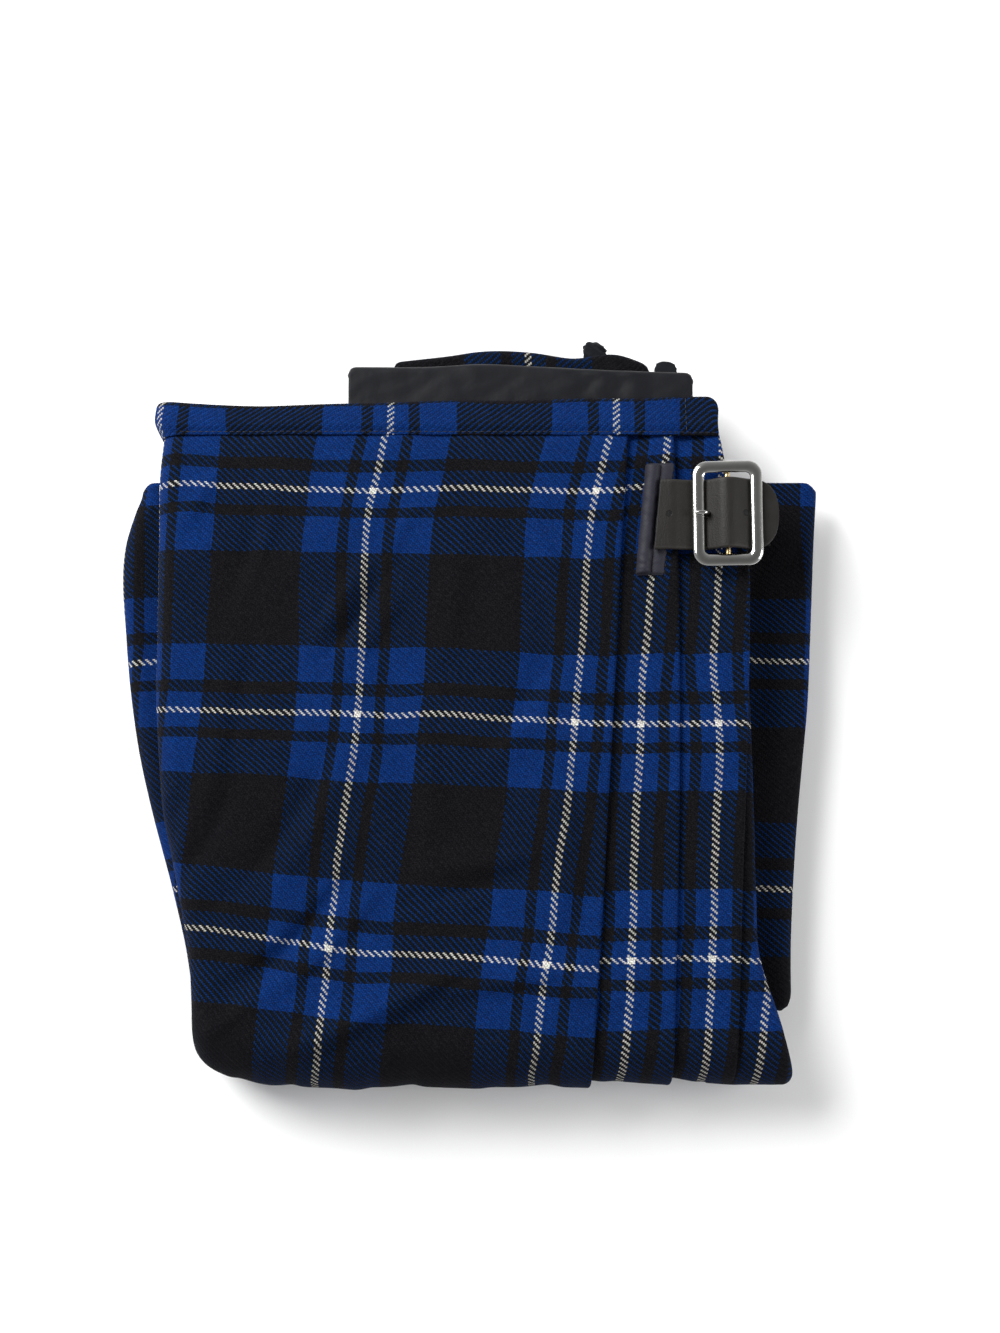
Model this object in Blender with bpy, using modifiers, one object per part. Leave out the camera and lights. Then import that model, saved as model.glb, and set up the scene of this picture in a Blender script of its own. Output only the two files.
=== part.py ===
"""Scottish kilt, buckled, laid flat and folded in four, so that it lies as a low stack.

Metres, +Z up. X runs across the stack and +Y toward the waist. The origin is at the middle of the underside.

The stack has eight layers: four from the waist to the bottom fold, and under them four from the fold to the
hem. Each wall of cloth on top is a cross-section (x, lift) that is carried along the stack, from the waist to
the bottom fold and round it to the floor. `lift` is the distance out from the top of the hidden layers.
"""

import math

import bmesh
import bpy
import numpy as np

MM = 0.001

# Cloth
CLOTH = 1.4 * MM
GAP = 0.4 * MM
LAYER = CLOTH + GAP
MIDDLE = GAP + CLOTH / 2  # lift of the middle of the lowest wall

# The stack
HALF = 21.5 * MM  # top of the hem half, where the waist half lies on it
FOLD_RADIUS = 20.5 * MM  # of the hidden layers, round the bottom fold
FOLD_HEIGHT = 22.5 * MM
FOLD_Y = -157.8 * MM  # where the bottom fold starts to turn
FOLD_TURN = math.radians(162)
CORNER_RISE = 10 * MM  # the fold's left corner is drawn up by this much
CORNER_START, CORNER_END = 85 * MM, 130 * MM
CLOTH_END = 131 * MM  # the panels end under the waistband
WAIST_DROP = 6 * MM  # the waist end sinks, having nothing below it
DROOP_START, WAIST_Y = 112 * MM, 145 * MM
HEM_Y = 106.5 * MM
HEM_END = -145 * MM

# Folded edges
ROLL_RADIUS = 11 * MM  # left fold of the waist half
ROLL_TURN = math.radians(130)
ROLL_STEPS = 7
HEM_TURN = math.radians(145)
PLEAT_FOLD = 5 * MM  # right fold of the last pleat
HEM_ROLL_LEFT = 9.9 * MM
HEM_ROLL_RIGHT = 5.4 * MM
RETURN = 12 * MM  # a pleat's cloth turns back under it by this much
TUCK = 12 * MM  # and starts this far under the one before
HEM_LEFT_START = -133 * MM  # the strips start here, hidden under the waist half
HEM_RIGHT_START = 117 * MM
HEM_LEAST = 16 * MM  # and are at least this wide

# Waistband and the tiers behind it
BAND_SEAM = 124.6 * MM
BAND_TOP = 144.6 * MM
BAND_FACING = 133.6 * MM
BAND_RIGHT = 118 * MM
BAND_CORNER = 5 * MM
BAND_STEP = 0.4  # layers that the band comes down at each pleat
BAND_ROLL = 6.5 * MM  # room inside its left fold
TIER_FOLD = 2.6 * MM
LINING_X = (-58.5 * MM, 107 * MM)
LINING_START = 134 * MM
LINING_BACK = 152.5 * MM
BACK_BAND_X = (-37.4 * MM, 87 * MM)
BACK_BAND_Z = 25.0 * MM
BACK_BAND_START = 153 * MM
BACK_BAND_BACK = 155.5 * MM
LOOP_THICK = 1.2 * MM

# Slit, strap and buckle. Lifts are above the hidden layers' top at the middle of the strap.
STRAP_Y = 85.0 * MM
STRAP_WIDE = 33.5 * MM
STRAP_THICK = 2.6 * MM
STRAP_TIP = 13 * MM
TIP_POWER, TIP_BLUNT = 2.4, 0.97  # a superellipse, cut short of its point
STRAP_BEND = (90 * MM, 98 * MM)  # between these its slanted start comes square
WELT_GAP = 0.5 * MM
WELT_EDGE, WELT_END = 0.25, 0.6  # how high its sides and ends are, as parts of its crown
TAB_WIDE = 29 * MM
TAB_THICK = 1.0 * MM
TAB_SLOT = (8.8 * MM, 3.4 * MM, 9 * MM)
TAB_CLEAR = 0.3 * MM
FRAME_X = 120.8 * MM
FRAME_WIDE, FRAME_LONG = 32.6 * MM, 50.2 * MM
FRAME_BAR = 5.6 * MM
FRAME_THICK = 2.6 * MM
FRAME_CORNER = 7 * MM
FRAME_INNER_CORNER = 2.4 * MM
FRAME_ROUND = 0.7 * MM
FRAME_LIFT = 6.9 * MM
FRAME_TILT = math.radians(-4.8)
BAR_RADIUS = 1.3 * MM
BAR_SAG = 1.9 * MM
PRONG_RADIUS = 0.9 * MM
PRONG_HOLE_X = 111.5 * MM
PRONG_HOLE = 1.7 * MM
HOLE_DEPTH = 12 * MM
ROUND_SIDES = 16

# Edges seen from above, in mm. Each piece's right edge is the fold that lies on the next piece.
EDGES = [
    # y, left, apron, pleat_1, pleat_2, pleat_3, hem_left, hem_right
    (-180, -126.8, 56.0, 93.0, 121.5, 146.5, -127.5, 151.0),
    (-160, -127.0, 57.2, 93.6, 122.5, 142.3, -128.5, 151.0),
    (-118, -129.4, 60.0, 95.0, 124.5, 133.4, -134.0, 151.2),
    (-90, -135.0, 62.0, 96.0, 125.8, 132.8, -141.0, 152.8),
    (-50, -143.2, 64.3, 97.2, 127.8, 132.4, -152.5, 156.3),
    (-28, -145.3, 65.8, 97.7, 129.0, 132.2, -158.0, 158.8),
    (0, -147.2, 67.4, 98.1, 130.2, 131.6, -163.0, 161.9),
    (30, -147.4, 69.2, 98.3, 131.3, 130.3, -166.5, 163.8),
    (75, -147.7, 71.8, 98.1, 130.2, 128.2, -168.4, 166.4),
    (105, -148.0, 74.0, 97.4, 122.3, 120.0, -160.8, 168.3),
    (125, -147.0, 75.2, 97.0, 119.0, 117.0, -159.0, 168.3),
    (145, -149.0, 76.5, 96.8, 117.5, 116.0, -159.0, 168.3),
]
EDGE_NAMES = ("left", "apron", "pleat_1", "pleat_2", "pleat_3", "hem_left", "hem_right")

# Levels, in layers below the apron, that each pleat rises to at its own right edge.
PLEATS = [
    # name, right edge, level there
    ("over_apron", "apron", 0.0),
    ("pleat_1", "pleat_1", -0.4),
    ("pleat_2", "pleat_2", -0.8),
    ("pleat_3", "pleat_3", -2.8),
]

# Upper edges of the two tiers, in mm.
LINING_TOP = [(-58.5, 161.1), (-22.8, 161.1), (8.0, 162.6), (28.8, 161.6), (67.3, 159.6), (107, 158.6)]
BACK_BAND_TOP = [
    (-37.4, 166.4),
    (-8.1, 169.9),
    (1.1, 171.4),
    (28.9, 171.4),
    (48.9, 168.4),
    (72.8, 169.9),
    (79.1, 167.9),
    (87.0, 164.5),
]

# Belt loops, in mm: left and right edge, where the loop starts, its tip, height of its middle.
LOOPS = [
    # name, left, right, start, tip, z
    ("belt_loop_1", 55.4, 66.4, 159.5, 179.9, 17.6),
    ("belt_loop_2", 89.6, 100.4, 154.5, 166.9, 23.7),
]

# Slit bindings, in mm: middle of the upper end, middle of the lower end, width, height.
WELTS = [
    # name, top x, top y, bottom x, bottom y, wide, high
    ("slit_welt_left", 87.6, 110.5, 82.1, 56.7, 5.6, 3.8),
    ("slit_welt_right", 93.7, 110.5, 88.4, 56.7, 5.4, 1.5),
]

# The strap's run through the buckle, in mm: x and the lift of its underside.
STRAP_RUN = [
    # x, lift
    (88.0, 2.7),
    (91.0, 3.0),
    (94.0, 3.2),
    (96.5, 3.0),
    (99.5, 2.2),
    (104.0, 1.5),
    (109.5, 1.4),
    (112.5, 2.6),
    (115.5, 5.0),
    (118.2, 7.3),
    (120.8, 8.2),
    (123.5, 7.8),
    (126.5, 6.4),
    (130.0, 4.4),
    (133.0, 3.6),
    (138.0, 3.5),
    (145.0, 3.4),
]

# The tab's run, in mm: x and lift of its middle, in under the bar and, after the turn round it, out over itself.
TAB_IN = [(141.0, 1.35), (133.0, 1.35), (127.5, 1.5), (124.0, 2.3)]
TAB_OUT = [(124.2, 5.9), (127.0, 3.7), (130.0, 2.7), (141.0, 2.65)]
TAB_TURN = (math.radians(-75), math.radians(-290))

# The prong's run, in mm: x and lift of its middle, from its hook under the bar to its tip over the frame.
PRONG_RUN = [
    # x, lift
    (123.4, 6.3),
    (123.8, 4.9),
    (122.9, 3.1),
    (120.8, 2.3),
    (117.5, 1.3),
    (114.5, 0.5),
    (112.6, 0.9),
    (111.7, 2.9),
    (111.6, 6.0),
    (110.5, 8.5),
    (107.8, 8.9),
    (105.2, 8.3),
]

# Broad unevenness of the stack's top, in mm.
SWELLS = [
    # x, y, degrees, length, width, height
    (-55, -146, 32, 46, 20, 1.6),
    (-100, -105, 38, 52, 30, -1.3),
    (-70, 70, 80, 70, 34, 1.2),
    (20, 10, 96, 80, 40, 1.4),
    (-20, -70, 60, 60, 32, -1.1),
    (-112, 20, 88, 70, 28, -0.9),
]

# The four pairs of hidden layers, from the floor up, in mm.
BUNDLES = [
    # name, left edge, right edge, set in at the right, waist end, edge radius
    ("hem_lower", "hem_left", "hem_right", 4.0, 105.5, 4.9),
    ("hem_upper", "hem_left", "hem_right", 2.6, 106.5, 4.6),
    ("waist_lower", "left", "pleat_3", 3.5, 155.0, 3.6),
    ("waist_upper", "left", "pleat_3", 3.0, 150.0, 3.2),
]
BUNDLE_STEPS = (0.0, 0.15, 0.5, 0.85)
NECK_CLEAR = 3 * MM
NECK_TOP = 98 * MM
HEM_TOP = HALF - 2.3 * MM
SHELF_TOP = 119 * MM
CORE_CORNER = 0.10
CORNER_POINTS, ALONG_POINTS, ACROSS_POINTS = 4, 14, 19
CORE_SEGMENTS = 4 * CORNER_POINTS + 2 * (ALONG_POINTS + ACROSS_POINTS)
CAP_SCALES = (0.915, 0.875, 0.78, 0.65, 0.5, 0.34, 0.17)
CAP_CENTRE = (-10 * MM, -5 * MM)
CORE_FOLD_CLEAR = 1.2 * MM
CORE_ROUNDING = 6 * MM
EDGE_CLEAR = 2 * MM
HEM_CLEAR = 1.6 * MM

COLOURS = {
    # name: colour, roughness, metallic
    "tartan": ((0.006, 0.018, 0.110), 0.9, 0.0),
    "lining": ((0.012, 0.013, 0.022), 0.8, 0.0),
    "leather": ((0.010, 0.009, 0.008), 0.45, 0.0),
    "nickel": ((0.78, 0.78, 0.76), 0.2, 1.0),
}


def ramp(value, start, end):
    """0 before `start`, 1 past `end`, and a smooth step between."""
    part = np.clip((value - start) / (end - start), 0.0, 1.0)
    return part * part * (3 - 2 * part)


def rise(value, start, end):
    return np.clip((value - start) / (end - start), 0.0, 1.0)


def edge(name, y):
    """x of a named edge at y, from EDGES."""
    table = np.array(EDGES) * MM
    return np.interp(y, table[:, 0], table[:, 1 + EDGE_NAMES.index(name)])


def read_table(rows, x):
    table = np.array(rows) * MM
    return np.interp(x, table[:, 0], table[:, 1])


def fold_y(x):
    """y where the bottom fold starts to turn, drawn up at its left corner."""
    return FOLD_Y + CORNER_RISE * ramp(-x, CORNER_START, CORNER_END)


def swell(x, y):
    """Height of the stack's broad ridges and hollows: a sum of long Gaussian mounds."""
    total = np.zeros(np.broadcast(x, y).shape)
    for centre_x, centre_y, degrees, length, width, height in SWELLS:
        turn = math.radians(degrees)
        along = (x / MM - centre_x) * math.cos(turn) + (y / MM - centre_y) * math.sin(turn)
        across = (y / MM - centre_y) * math.cos(turn) - (x / MM - centre_x) * math.sin(turn)
        total = total + height * np.exp(-((along / length) ** 2) - (across / width) ** 2)
    return total * MM


def stack_point(x, start, fraction, turn, lift):
    """Points carried along the stack: `fraction` of the way from y = start to the fold, then `turn` round it."""
    along = start + (fold_y(x) - start) * fraction
    droop = WAIST_DROP * ramp(along, DROOP_START, WAIST_Y)
    flat = 1.0 - np.clip(turn, 0.0, 1.0)
    reach = FOLD_RADIUS + lift + swell(x, along) * flat
    y = along - reach * np.sin(turn)
    z = FOLD_HEIGHT + reach * np.cos(turn) - droop
    return np.stack(np.broadcast_arrays(x, y, z), axis=-1)


def level(pleat, x, y):
    """Height of a strip in layers: it starts two layers under the edge before it and rises to its own edge."""
    if pleat == 0:
        return np.zeros(np.broadcast(x, y).shape)
    before = edge(PLEATS[pleat - 1][1], y)
    own = edge(PLEATS[pleat][1], y)
    tucked = level(pleat - 1, np.minimum(x, before), y) - 2
    part = np.clip((x - before) / np.maximum(own - before, 1 * MM), 0.0, 1.0)
    start = level(pleat - 1, before, y) - 2
    return tucked + (PLEATS[pleat][2] - start) * part


def core_lift(x, y):
    """The hidden layers' top, low enough at the right and at the waist for the cloth folded over them."""
    first = edge("apron", y)
    second = edge("pleat_1", y)
    third = edge("pleat_2", y)
    pleats = 0.1 + 2.3 * ramp(x, first - 48 * MM, first - 24 * MM)
    pleats = pleats + 1.3 * ramp(x, first - 14 * MM, second - 24 * MM)
    pleats = pleats + 0.5 * ramp(x, second - 24 * MM, third - 24 * MM)
    facing = 2.4 + BAND_STEP * (rise(x, first, second) + rise(x, second, third))
    waist = ramp(y, CLOTH_END - 1 * MM, BAND_FACING - 1 * MM)
    return -LAYER * (pleats + (facing - pleats) * waist)


def surface_z(x, y, lift):
    """Height of a point over the flat part of the stack."""
    droop = WAIST_DROP * ramp(y, DROOP_START, WAIST_Y)
    return FOLD_HEIGHT + FOLD_RADIUS + lift + swell(x, y) - droop


# --- meshes and materials -------------------------------------------------------------------------------------


def clear_scene():
    for item in list(bpy.data.objects):
        bpy.data.objects.remove(item, do_unlink=True)


def make_material(name):
    colour, roughness, metallic = COLOURS[name]
    material = bpy.data.materials.new(name)
    material.use_nodes = True
    shader = material.node_tree.nodes["Principled BSDF"]
    shader.inputs["Base Color"].default_value = (*colour, 1.0)
    shader.inputs["Roughness"].default_value = roughness
    shader.inputs["Metallic"].default_value = metallic
    material.diffuse_color = (*colour, 1.0)
    return material


def add_mesh(name, points, faces, material):
    mesh = bpy.data.meshes.new(name)
    mesh.from_pydata([tuple(p) for p in points], [], faces)
    mesh.materials.append(bpy.data.materials[material])
    mesh.shade_smooth()
    new = bpy.data.objects.new(name, mesh)
    bpy.data.collections["kilt"].objects.link(new)
    return new


def grid_faces(rows, columns, closed=False):
    """Quads between the rows of a grid, counter-clockwise when rows run toward -Y and columns toward +X."""
    last = columns if closed else columns - 1
    faces = []
    for row in range(rows - 1):
        for column in range(last):
            after = (column + 1) % columns
            here, below = row * columns, (row + 1) * columns
            faces.append((here + column, below + column, below + after, here + after))
    return faces


def add_cloth(name, points, thickness=CLOTH, material="tartan"):
    """A wall on each side of a grid of middle points, closed at its rim."""
    rows, columns, _ = points.shape
    new = add_mesh(name, points.reshape(-1, 3), grid_faces(rows, columns), material)
    wall = new.modifiers.new("wall", "SOLIDIFY")
    wall.thickness = thickness
    wall.offset = 0.0
    wall.use_even_offset = True
    return new


# --- walls of cloth on the waist half -------------------------------------------------------------------------


def length_stations(flat_rows, turn_rows):
    """(fraction, turn) columns: the flat run from the waist end, then the turn round the bottom fold."""
    fraction = np.concatenate([np.linspace(0, 1, flat_rows), np.ones(turn_rows)])
    turn = np.concatenate([np.zeros(flat_rows), FOLD_TURN * np.arange(1, turn_rows + 1) / turn_rows])
    return fraction[:, None], turn[:, None]


def left_roll(left, outside):
    """(x, lift) of the fold at the left edge, from its lower lip up to the top, `outside` the panel's own fold."""
    radius = ROLL_RADIUS - CLOTH / 2
    angle = np.linspace(ROLL_TURN, 0, ROLL_STEPS, endpoint=False)
    x = left + ROLL_RADIUS - (radius + outside) * np.sin(angle)
    lift = MIDDLE - radius + (radius + outside) * np.cos(angle)
    return x, lift + 0 * x


def pleat_edge(pleat, x, y, lift_at):
    """(x, lift) of a strip's right edge: the hairpin turn, then its return below."""
    radius = LAYER / 2
    angle = np.linspace(0, math.pi, 5)[1:]
    turn_x = x + radius * np.sin(angle)
    turn_lift = lift_at(pleat, x, y) - radius * (1 - np.cos(angle))
    back_x = x - RETURN * np.array([0.5, 1.0])
    back_lift = lift_at(pleat, back_x, y) - LAYER
    return np.hstack([turn_x, back_x]), np.hstack([turn_lift + 0 * turn_x, back_lift])


def strip_lift(pleat, x, y):
    return MIDDLE + level(pleat, x, y) * LAYER


def outer_fold(x, lift, radius):
    """(x, lift) of a plain folded edge that turns down by ROLL_TURN."""
    angle = np.linspace(0, ROLL_TURN, 7)[1:]
    return x + radius * np.sin(angle), lift - radius * (1 - np.cos(angle))


def add_strip(pleat, flat_columns, flat_rows=20, turn_rows=6):
    """One strip of the top face: the apron or a pleat."""
    name, own_edge, _ = PLEATS[pleat]
    fraction, turn = length_stations(flat_rows, turn_rows)
    y = CLOTH_END + (FOLD_Y - CLOTH_END) * fraction - FOLD_RADIUS * np.sin(turn)
    right = edge(own_edge, y)
    if pleat == 0:
        left = edge("left", y + (fold_y(-CORNER_END) - FOLD_Y) * fraction)
        roll_x, roll_lift = left_roll(left, 0.0)
        start = left + ROLL_RADIUS
    else:
        roll_x, roll_lift = np.empty((len(y), 0)), np.empty((len(y), 0))
        start = edge(PLEATS[pleat - 1][1], y) - TUCK
    last = pleat == len(PLEATS) - 1
    radius = PLEAT_FOLD - CLOTH / 2 if last else LAYER / 2
    stop = right - CLOTH / 2 - radius
    flat_x = start + (stop - start) * np.linspace(0, 1, flat_columns)
    flat_lift = strip_lift(pleat, flat_x, y)
    if last:
        end_x, end_lift = outer_fold(stop, strip_lift(pleat, stop, y), radius)
    else:
        end_x, end_lift = pleat_edge(pleat, stop, y, strip_lift)
    x = np.hstack([roll_x, flat_x, end_x])
    lift = np.hstack([roll_lift, flat_lift, end_lift])
    return add_cloth(name, stack_point(x, CLOTH_END, fraction, turn, lift))


def band_level(x, y):
    """The waistband lies one layer over the apron and comes down over the pleats beside it."""
    first, second, third = (edge(name, y) for name in ("apron", "pleat_1", "pleat_2"))
    return 1 - BAND_STEP * (rise(x, first, second) + rise(x, second, third))


def add_waistband():
    """The front waistband: up from its seam, over the waist edge and down inside as a short facing."""
    left = edge("left", WAIST_Y)
    corner = np.linspace(0, math.pi / 2, 4)[1:]
    flat_x = np.linspace(left + ROLL_RADIUS, BAND_RIGHT - BAND_CORNER, 15)
    flat_x = np.concatenate([flat_x, BAND_RIGHT - BAND_CORNER * (1 - np.sin(corner))])
    flat_lift = MIDDLE + band_level(flat_x, BAND_SEAM) * LAYER
    fold = np.full(ROLL_STEPS + len(flat_x), BAND_TOP - CLOTH / 2 - LAYER)
    fold[-len(corner):] -= BAND_CORNER * (1 - np.cos(corner))
    rows = [(BAND_SEAM + (fold - BAND_SEAM) * part, 0.0) for part in np.linspace(0, 1, 4)]
    angles = np.linspace(0, math.pi, 6)[1:-1]
    rows += [(fold + LAYER * math.sin(angle), LAYER * (1 - math.cos(angle))) for angle in angles]
    rows += [(fold + (BAND_FACING - fold) * part, 2 * LAYER) for part in np.linspace(0, 1, 3)]
    points = []
    for y, drop in reversed(rows):
        roll_x, roll_lift = left_roll(left, LAYER - drop)
        x = np.concatenate([roll_x, flat_x])
        lift = np.concatenate([roll_lift, flat_lift - drop])
        points.append(np.stack([x, y, surface_z(x, y, lift)], axis=-1))
    return add_cloth("waistband_front", np.array(points))


def add_tier(name, x_range, top_rows, start, back, z_of, columns, material):
    """A folded strip that shows past the waist edge: its upper side, its fold and a short return."""
    x = np.linspace(*x_range, columns)
    fold = read_table(top_rows, x) - CLOTH / 2 - TIER_FOLD
    angle = np.linspace(0, math.pi, 7)[1:-1]
    rows = [(start + (fold - start) * t, z_of(x, start + (fold - start) * t)) for t in (0, 0.5, 1.0)]
    top_z = z_of(x, fold)
    rows += [(fold + TIER_FOLD * math.sin(a), top_z - TIER_FOLD * (1 - math.cos(a))) for a in angle]
    rows += [(fold + (back - fold) * t, top_z - 2 * TIER_FOLD) for t in (0, 1.0)]
    points = np.array([np.stack([x, y + 0 * x, z + 0 * x], axis=-1) for y, z in rows])[::-1]
    return add_cloth(name, points, material=material)


def lining_z(x, y):
    return surface_z(x, np.minimum(y, WAIST_Y), core_lift(x, np.full_like(x, WAIST_Y)) + MIDDLE + GAP)


def back_band_z(x, y):
    return BACK_BAND_Z + 0 * x


def add_loop(name, left, right, start, tip, z):
    """A belt loop lying flat: a narrow strip folded back at its tip."""
    x = np.linspace(left, right, 4) * MM
    radius = LOOP_THICK / 2 + GAP / 2
    fold = tip * MM - radius - LOOP_THICK / 2
    angle = np.linspace(0, math.pi, 6)[1:-1]
    rows = [(start * MM + (fold - start * MM) * t, z * MM + radius) for t in (0, 0.5, 1)]
    rows += [(fold + radius * math.sin(a), z * MM + radius * math.cos(a)) for a in angle]
    rows += [(start * MM + (fold - start * MM) * t, z * MM - radius) for t in (1, 0.5, 0)]
    points = np.array([np.stack([x, y + 0 * x, h + 0 * x], axis=-1) for y, h in rows])[::-1]
    return add_cloth(name, points, LOOP_THICK, "lining")


# --- the hem half ---------------------------------------------------------------------------------------------


def hem_start(edge_name, y):
    """x where a hem strip starts, hidden under the waist half."""
    if edge_name == "hem_left":
        return np.maximum(HEM_LEFT_START, edge(edge_name, y) + HEM_LEAST)
    return np.minimum(HEM_RIGHT_START, edge(edge_name, y) - HEM_LEAST)


def add_hem(name, radius, side, rows=16, columns=5):
    """A strip of the hem half that shows past the waist half, with its folded edge. side is -1 left, 1 right."""
    y = np.linspace(HEM_Y, HEM_END, rows)[:, None]
    outer = edge(name, y)
    top = HALF - GAP - CLOTH / 2
    middle_radius = radius - CLOTH / 2
    stop = outer - side * radius
    flat_x = hem_start(name, y) * (1 - np.linspace(0, 1, columns)) + stop * np.linspace(0, 1, columns)
    angle = np.linspace(0, HEM_TURN, 9)[1:]
    roll_x = stop + side * middle_radius * np.sin(angle)
    roll_z = top - middle_radius * (1 - np.cos(angle))
    x = np.hstack([flat_x, roll_x])
    z = np.hstack([np.full_like(flat_x, top), roll_z + 0 * roll_x])
    points = np.stack(np.broadcast_arrays(x, y, z), axis=-1)
    return add_cloth(name, points if side > 0 else points[:, ::-1])


# --- the hidden layers ----------------------------------------------------------------------------------------


def rounded_square():
    """Points (p, q) round a square of side 2 with rounded corners, counter-clockwise from its right side."""
    p, q = [], []
    for corner in range(4):
        start = corner * math.pi / 2
        middle = start + math.pi / 4
        centre = (1 - CORE_CORNER) * math.sqrt(2)
        angle = start + math.pi / 2 * np.linspace(0, 1, CORNER_POINTS)
        p.append(centre * math.cos(middle) + CORE_CORNER * np.cos(angle))
        q.append(centre * math.sin(middle) + CORE_CORNER * np.sin(angle))
        count = ALONG_POINTS if corner % 2 else ACROSS_POINTS
        side = (1 - CORE_CORNER) * np.linspace(1, -1, count + 2)[1:-1]
        direction = start + math.pi / 2
        p.append(math.cos(direction) + side * math.sin(direction))
        q.append(math.sin(direction) - side * math.cos(direction))
    return np.concatenate(p), np.concatenate(q)


def bundle_bulge(part, radius):
    return radius * (1 - math.sqrt(max(0.0, 1 - (2 * part - 1) ** 2)))


def hem_inset(z):
    """How far in from its left edge the hem half's hidden layers stay, to clear the roll round them."""
    centre = HALF - GAP - HEM_ROLL_LEFT
    inside = (HEM_ROLL_LEFT - LAYER) ** 2 - (z - centre) ** 2
    return HEM_ROLL_LEFT + HEM_CLEAR - math.sqrt(max(0.0, inside))


def core_bottom(x, z, lift):
    """y of the hidden layers at height z, inside the cloth that goes round the bottom fold and its rolled ends."""
    reach = FOLD_RADIUS + lift - GAP
    inside = np.clip(reach**2 - (z - FOLD_HEIGHT) ** 2, 0.0, None)
    left = edge("left", FOLD_Y) + ROLL_RADIUS + CORE_FOLD_CLEAR
    right = edge("pleat_3", FOLD_Y - FOLD_RADIUS) - PLEAT_FOLD - CORE_FOLD_CLEAR
    within = ramp(x, left, left + CORE_ROUNDING) * ramp(-x, -right, CORE_ROUNDING - right)
    return fold_y(x) + CORE_FOLD_CLEAR - np.sqrt(inside) * within


def core_ring(left, right, top, z_of):
    """One closed ring of the hidden layers: x between two edges, y between the fold and `top`."""
    p, q = rounded_square()
    y = np.where(q > 0, top * q, FOLD_Y * -q)
    x = None
    for _ in range(3):
        x = (left(y) + right(y)) / 2 + (right(y) - left(y)) / 2 * p
        z = z_of(x, y)
        bottom = core_bottom(x, z, core_lift(x, np.full_like(x, FOLD_Y)))
        y = bottom + (top - bottom) * (q + 1) / 2
    return np.stack([x, y, z_of(x, y)], axis=-1)


def bundle_ring(row, part, shelf=False):
    """The ring of one pair of layers, `part` of the way up it. A shelf ring ends just past the hem."""
    _, left_name, right_name, right_inset, top, radius = BUNDLES[row]
    bulge = bundle_bulge(part, radius * MM)
    half_part = (row % 2 + part) / 2
    if row > 1:
        inset = LAYER + EDGE_CLEAR + bundle_bulge(half_part, ROLL_RADIUS - LAYER)
    else:
        inset = hem_inset(HEM_TOP * half_part)

    def left(y):
        band = BAND_ROLL * ramp(y, BAND_SEAM - 8 * MM, BAND_SEAM)
        return edge(left_name, y) + inset + 0.35 * bulge + band

    def right(y):
        return edge(right_name, y) - right_inset * MM - bulge

    def height(x, y):
        if row < 2:
            return np.full_like(x, HEM_TOP * half_part)
        droop = WAIST_DROP * ramp(y, DROOP_START, WAIST_Y)
        low = HALF + GAP / 2 - droop
        high = surface_z(x, y, core_lift(x, y))
        return low + (high - low) * half_part

    return core_ring(left, right, SHELF_TOP if shelf else top * MM - bulge, height)


def neck_ring(z):
    """The narrower ring between the two halves, clear of the hem strips that start there."""

    def left(y):
        return hem_start("hem_left", y) + NECK_CLEAR

    def right(y):
        return hem_start("hem_right", y) - NECK_CLEAR

    return core_ring(left, right, NECK_TOP, lambda x, y: np.full_like(x, z))


def add_core():
    """The layers that are hidden, as one solid: rings from the floor up, a neck between the halves, a cap."""
    rings = [bundle_ring(row, part) for row in (0, 1) for part in BUNDLE_STEPS]
    rings += [bundle_ring(1, 1.0), neck_ring(HEM_TOP), neck_ring(HALF), bundle_ring(2, 0.0, shelf=True)]
    rings += [bundle_ring(row, part) for row in (2, 3) for part in BUNDLE_STEPS]
    rim = bundle_ring(3, 1.0)
    rings.append(rim)
    for scale in CAP_SCALES:
        x = CAP_CENTRE[0] + (rim[:, 0] - CAP_CENTRE[0]) * scale
        y = CAP_CENTRE[1] + (rim[:, 1] - CAP_CENTRE[1]) * scale
        rings.append(np.stack([x, y, surface_z(x, y, core_lift(x, y))], axis=-1))
    points = np.array(rings)
    count = len(rings)
    faces = grid_faces(count, CORE_SEGMENTS, closed=True)
    faces = [face[::-1] for face in faces]
    faces.append(tuple(range(CORE_SEGMENTS))[::-1])
    faces.append(tuple((count - 1) * CORE_SEGMENTS + i for i in range(CORE_SEGMENTS)))
    return add_mesh("folded_layers", points.reshape(-1, 3), faces, "tartan")


# --- slit, strap and buckle -----------------------------------------------------------------------------------


def smooth_run(rows, steps):
    """A curve through (x, lift) rows given in mm: Catmull-Rom, `steps` points to a stretch."""
    run = np.array(rows) * MM
    run = np.vstack([2 * run[0] - run[1], run, 2 * run[-1] - run[-2]])
    points = []
    for before, here, after, beyond in zip(run, run[1:], run[2:], run[3:]):
        for t in np.arange(steps) / steps:
            bend = (2 * before - 5 * here + 4 * after - beyond) * t * t
            cubic = (3 * here - before - 3 * after + beyond) * t**3
            points.append((2 * here + (after - before) * t + bend + cubic) / 2)
    return np.array(points + [run[-2]])


def strap_z(lift):
    """Height of a point over the middle of the strap."""
    return surface_z(FRAME_X, STRAP_Y, lift)


def welt_right(y):
    """x of the left welt's right side at y, where the strap comes out."""
    _, top_x, top_y, bottom_x, bottom_y, wide, _ = WELTS[0]
    return np.interp(y / MM, [bottom_y, top_y], [bottom_x, top_x]) * MM + wide * MM / 2


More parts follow.
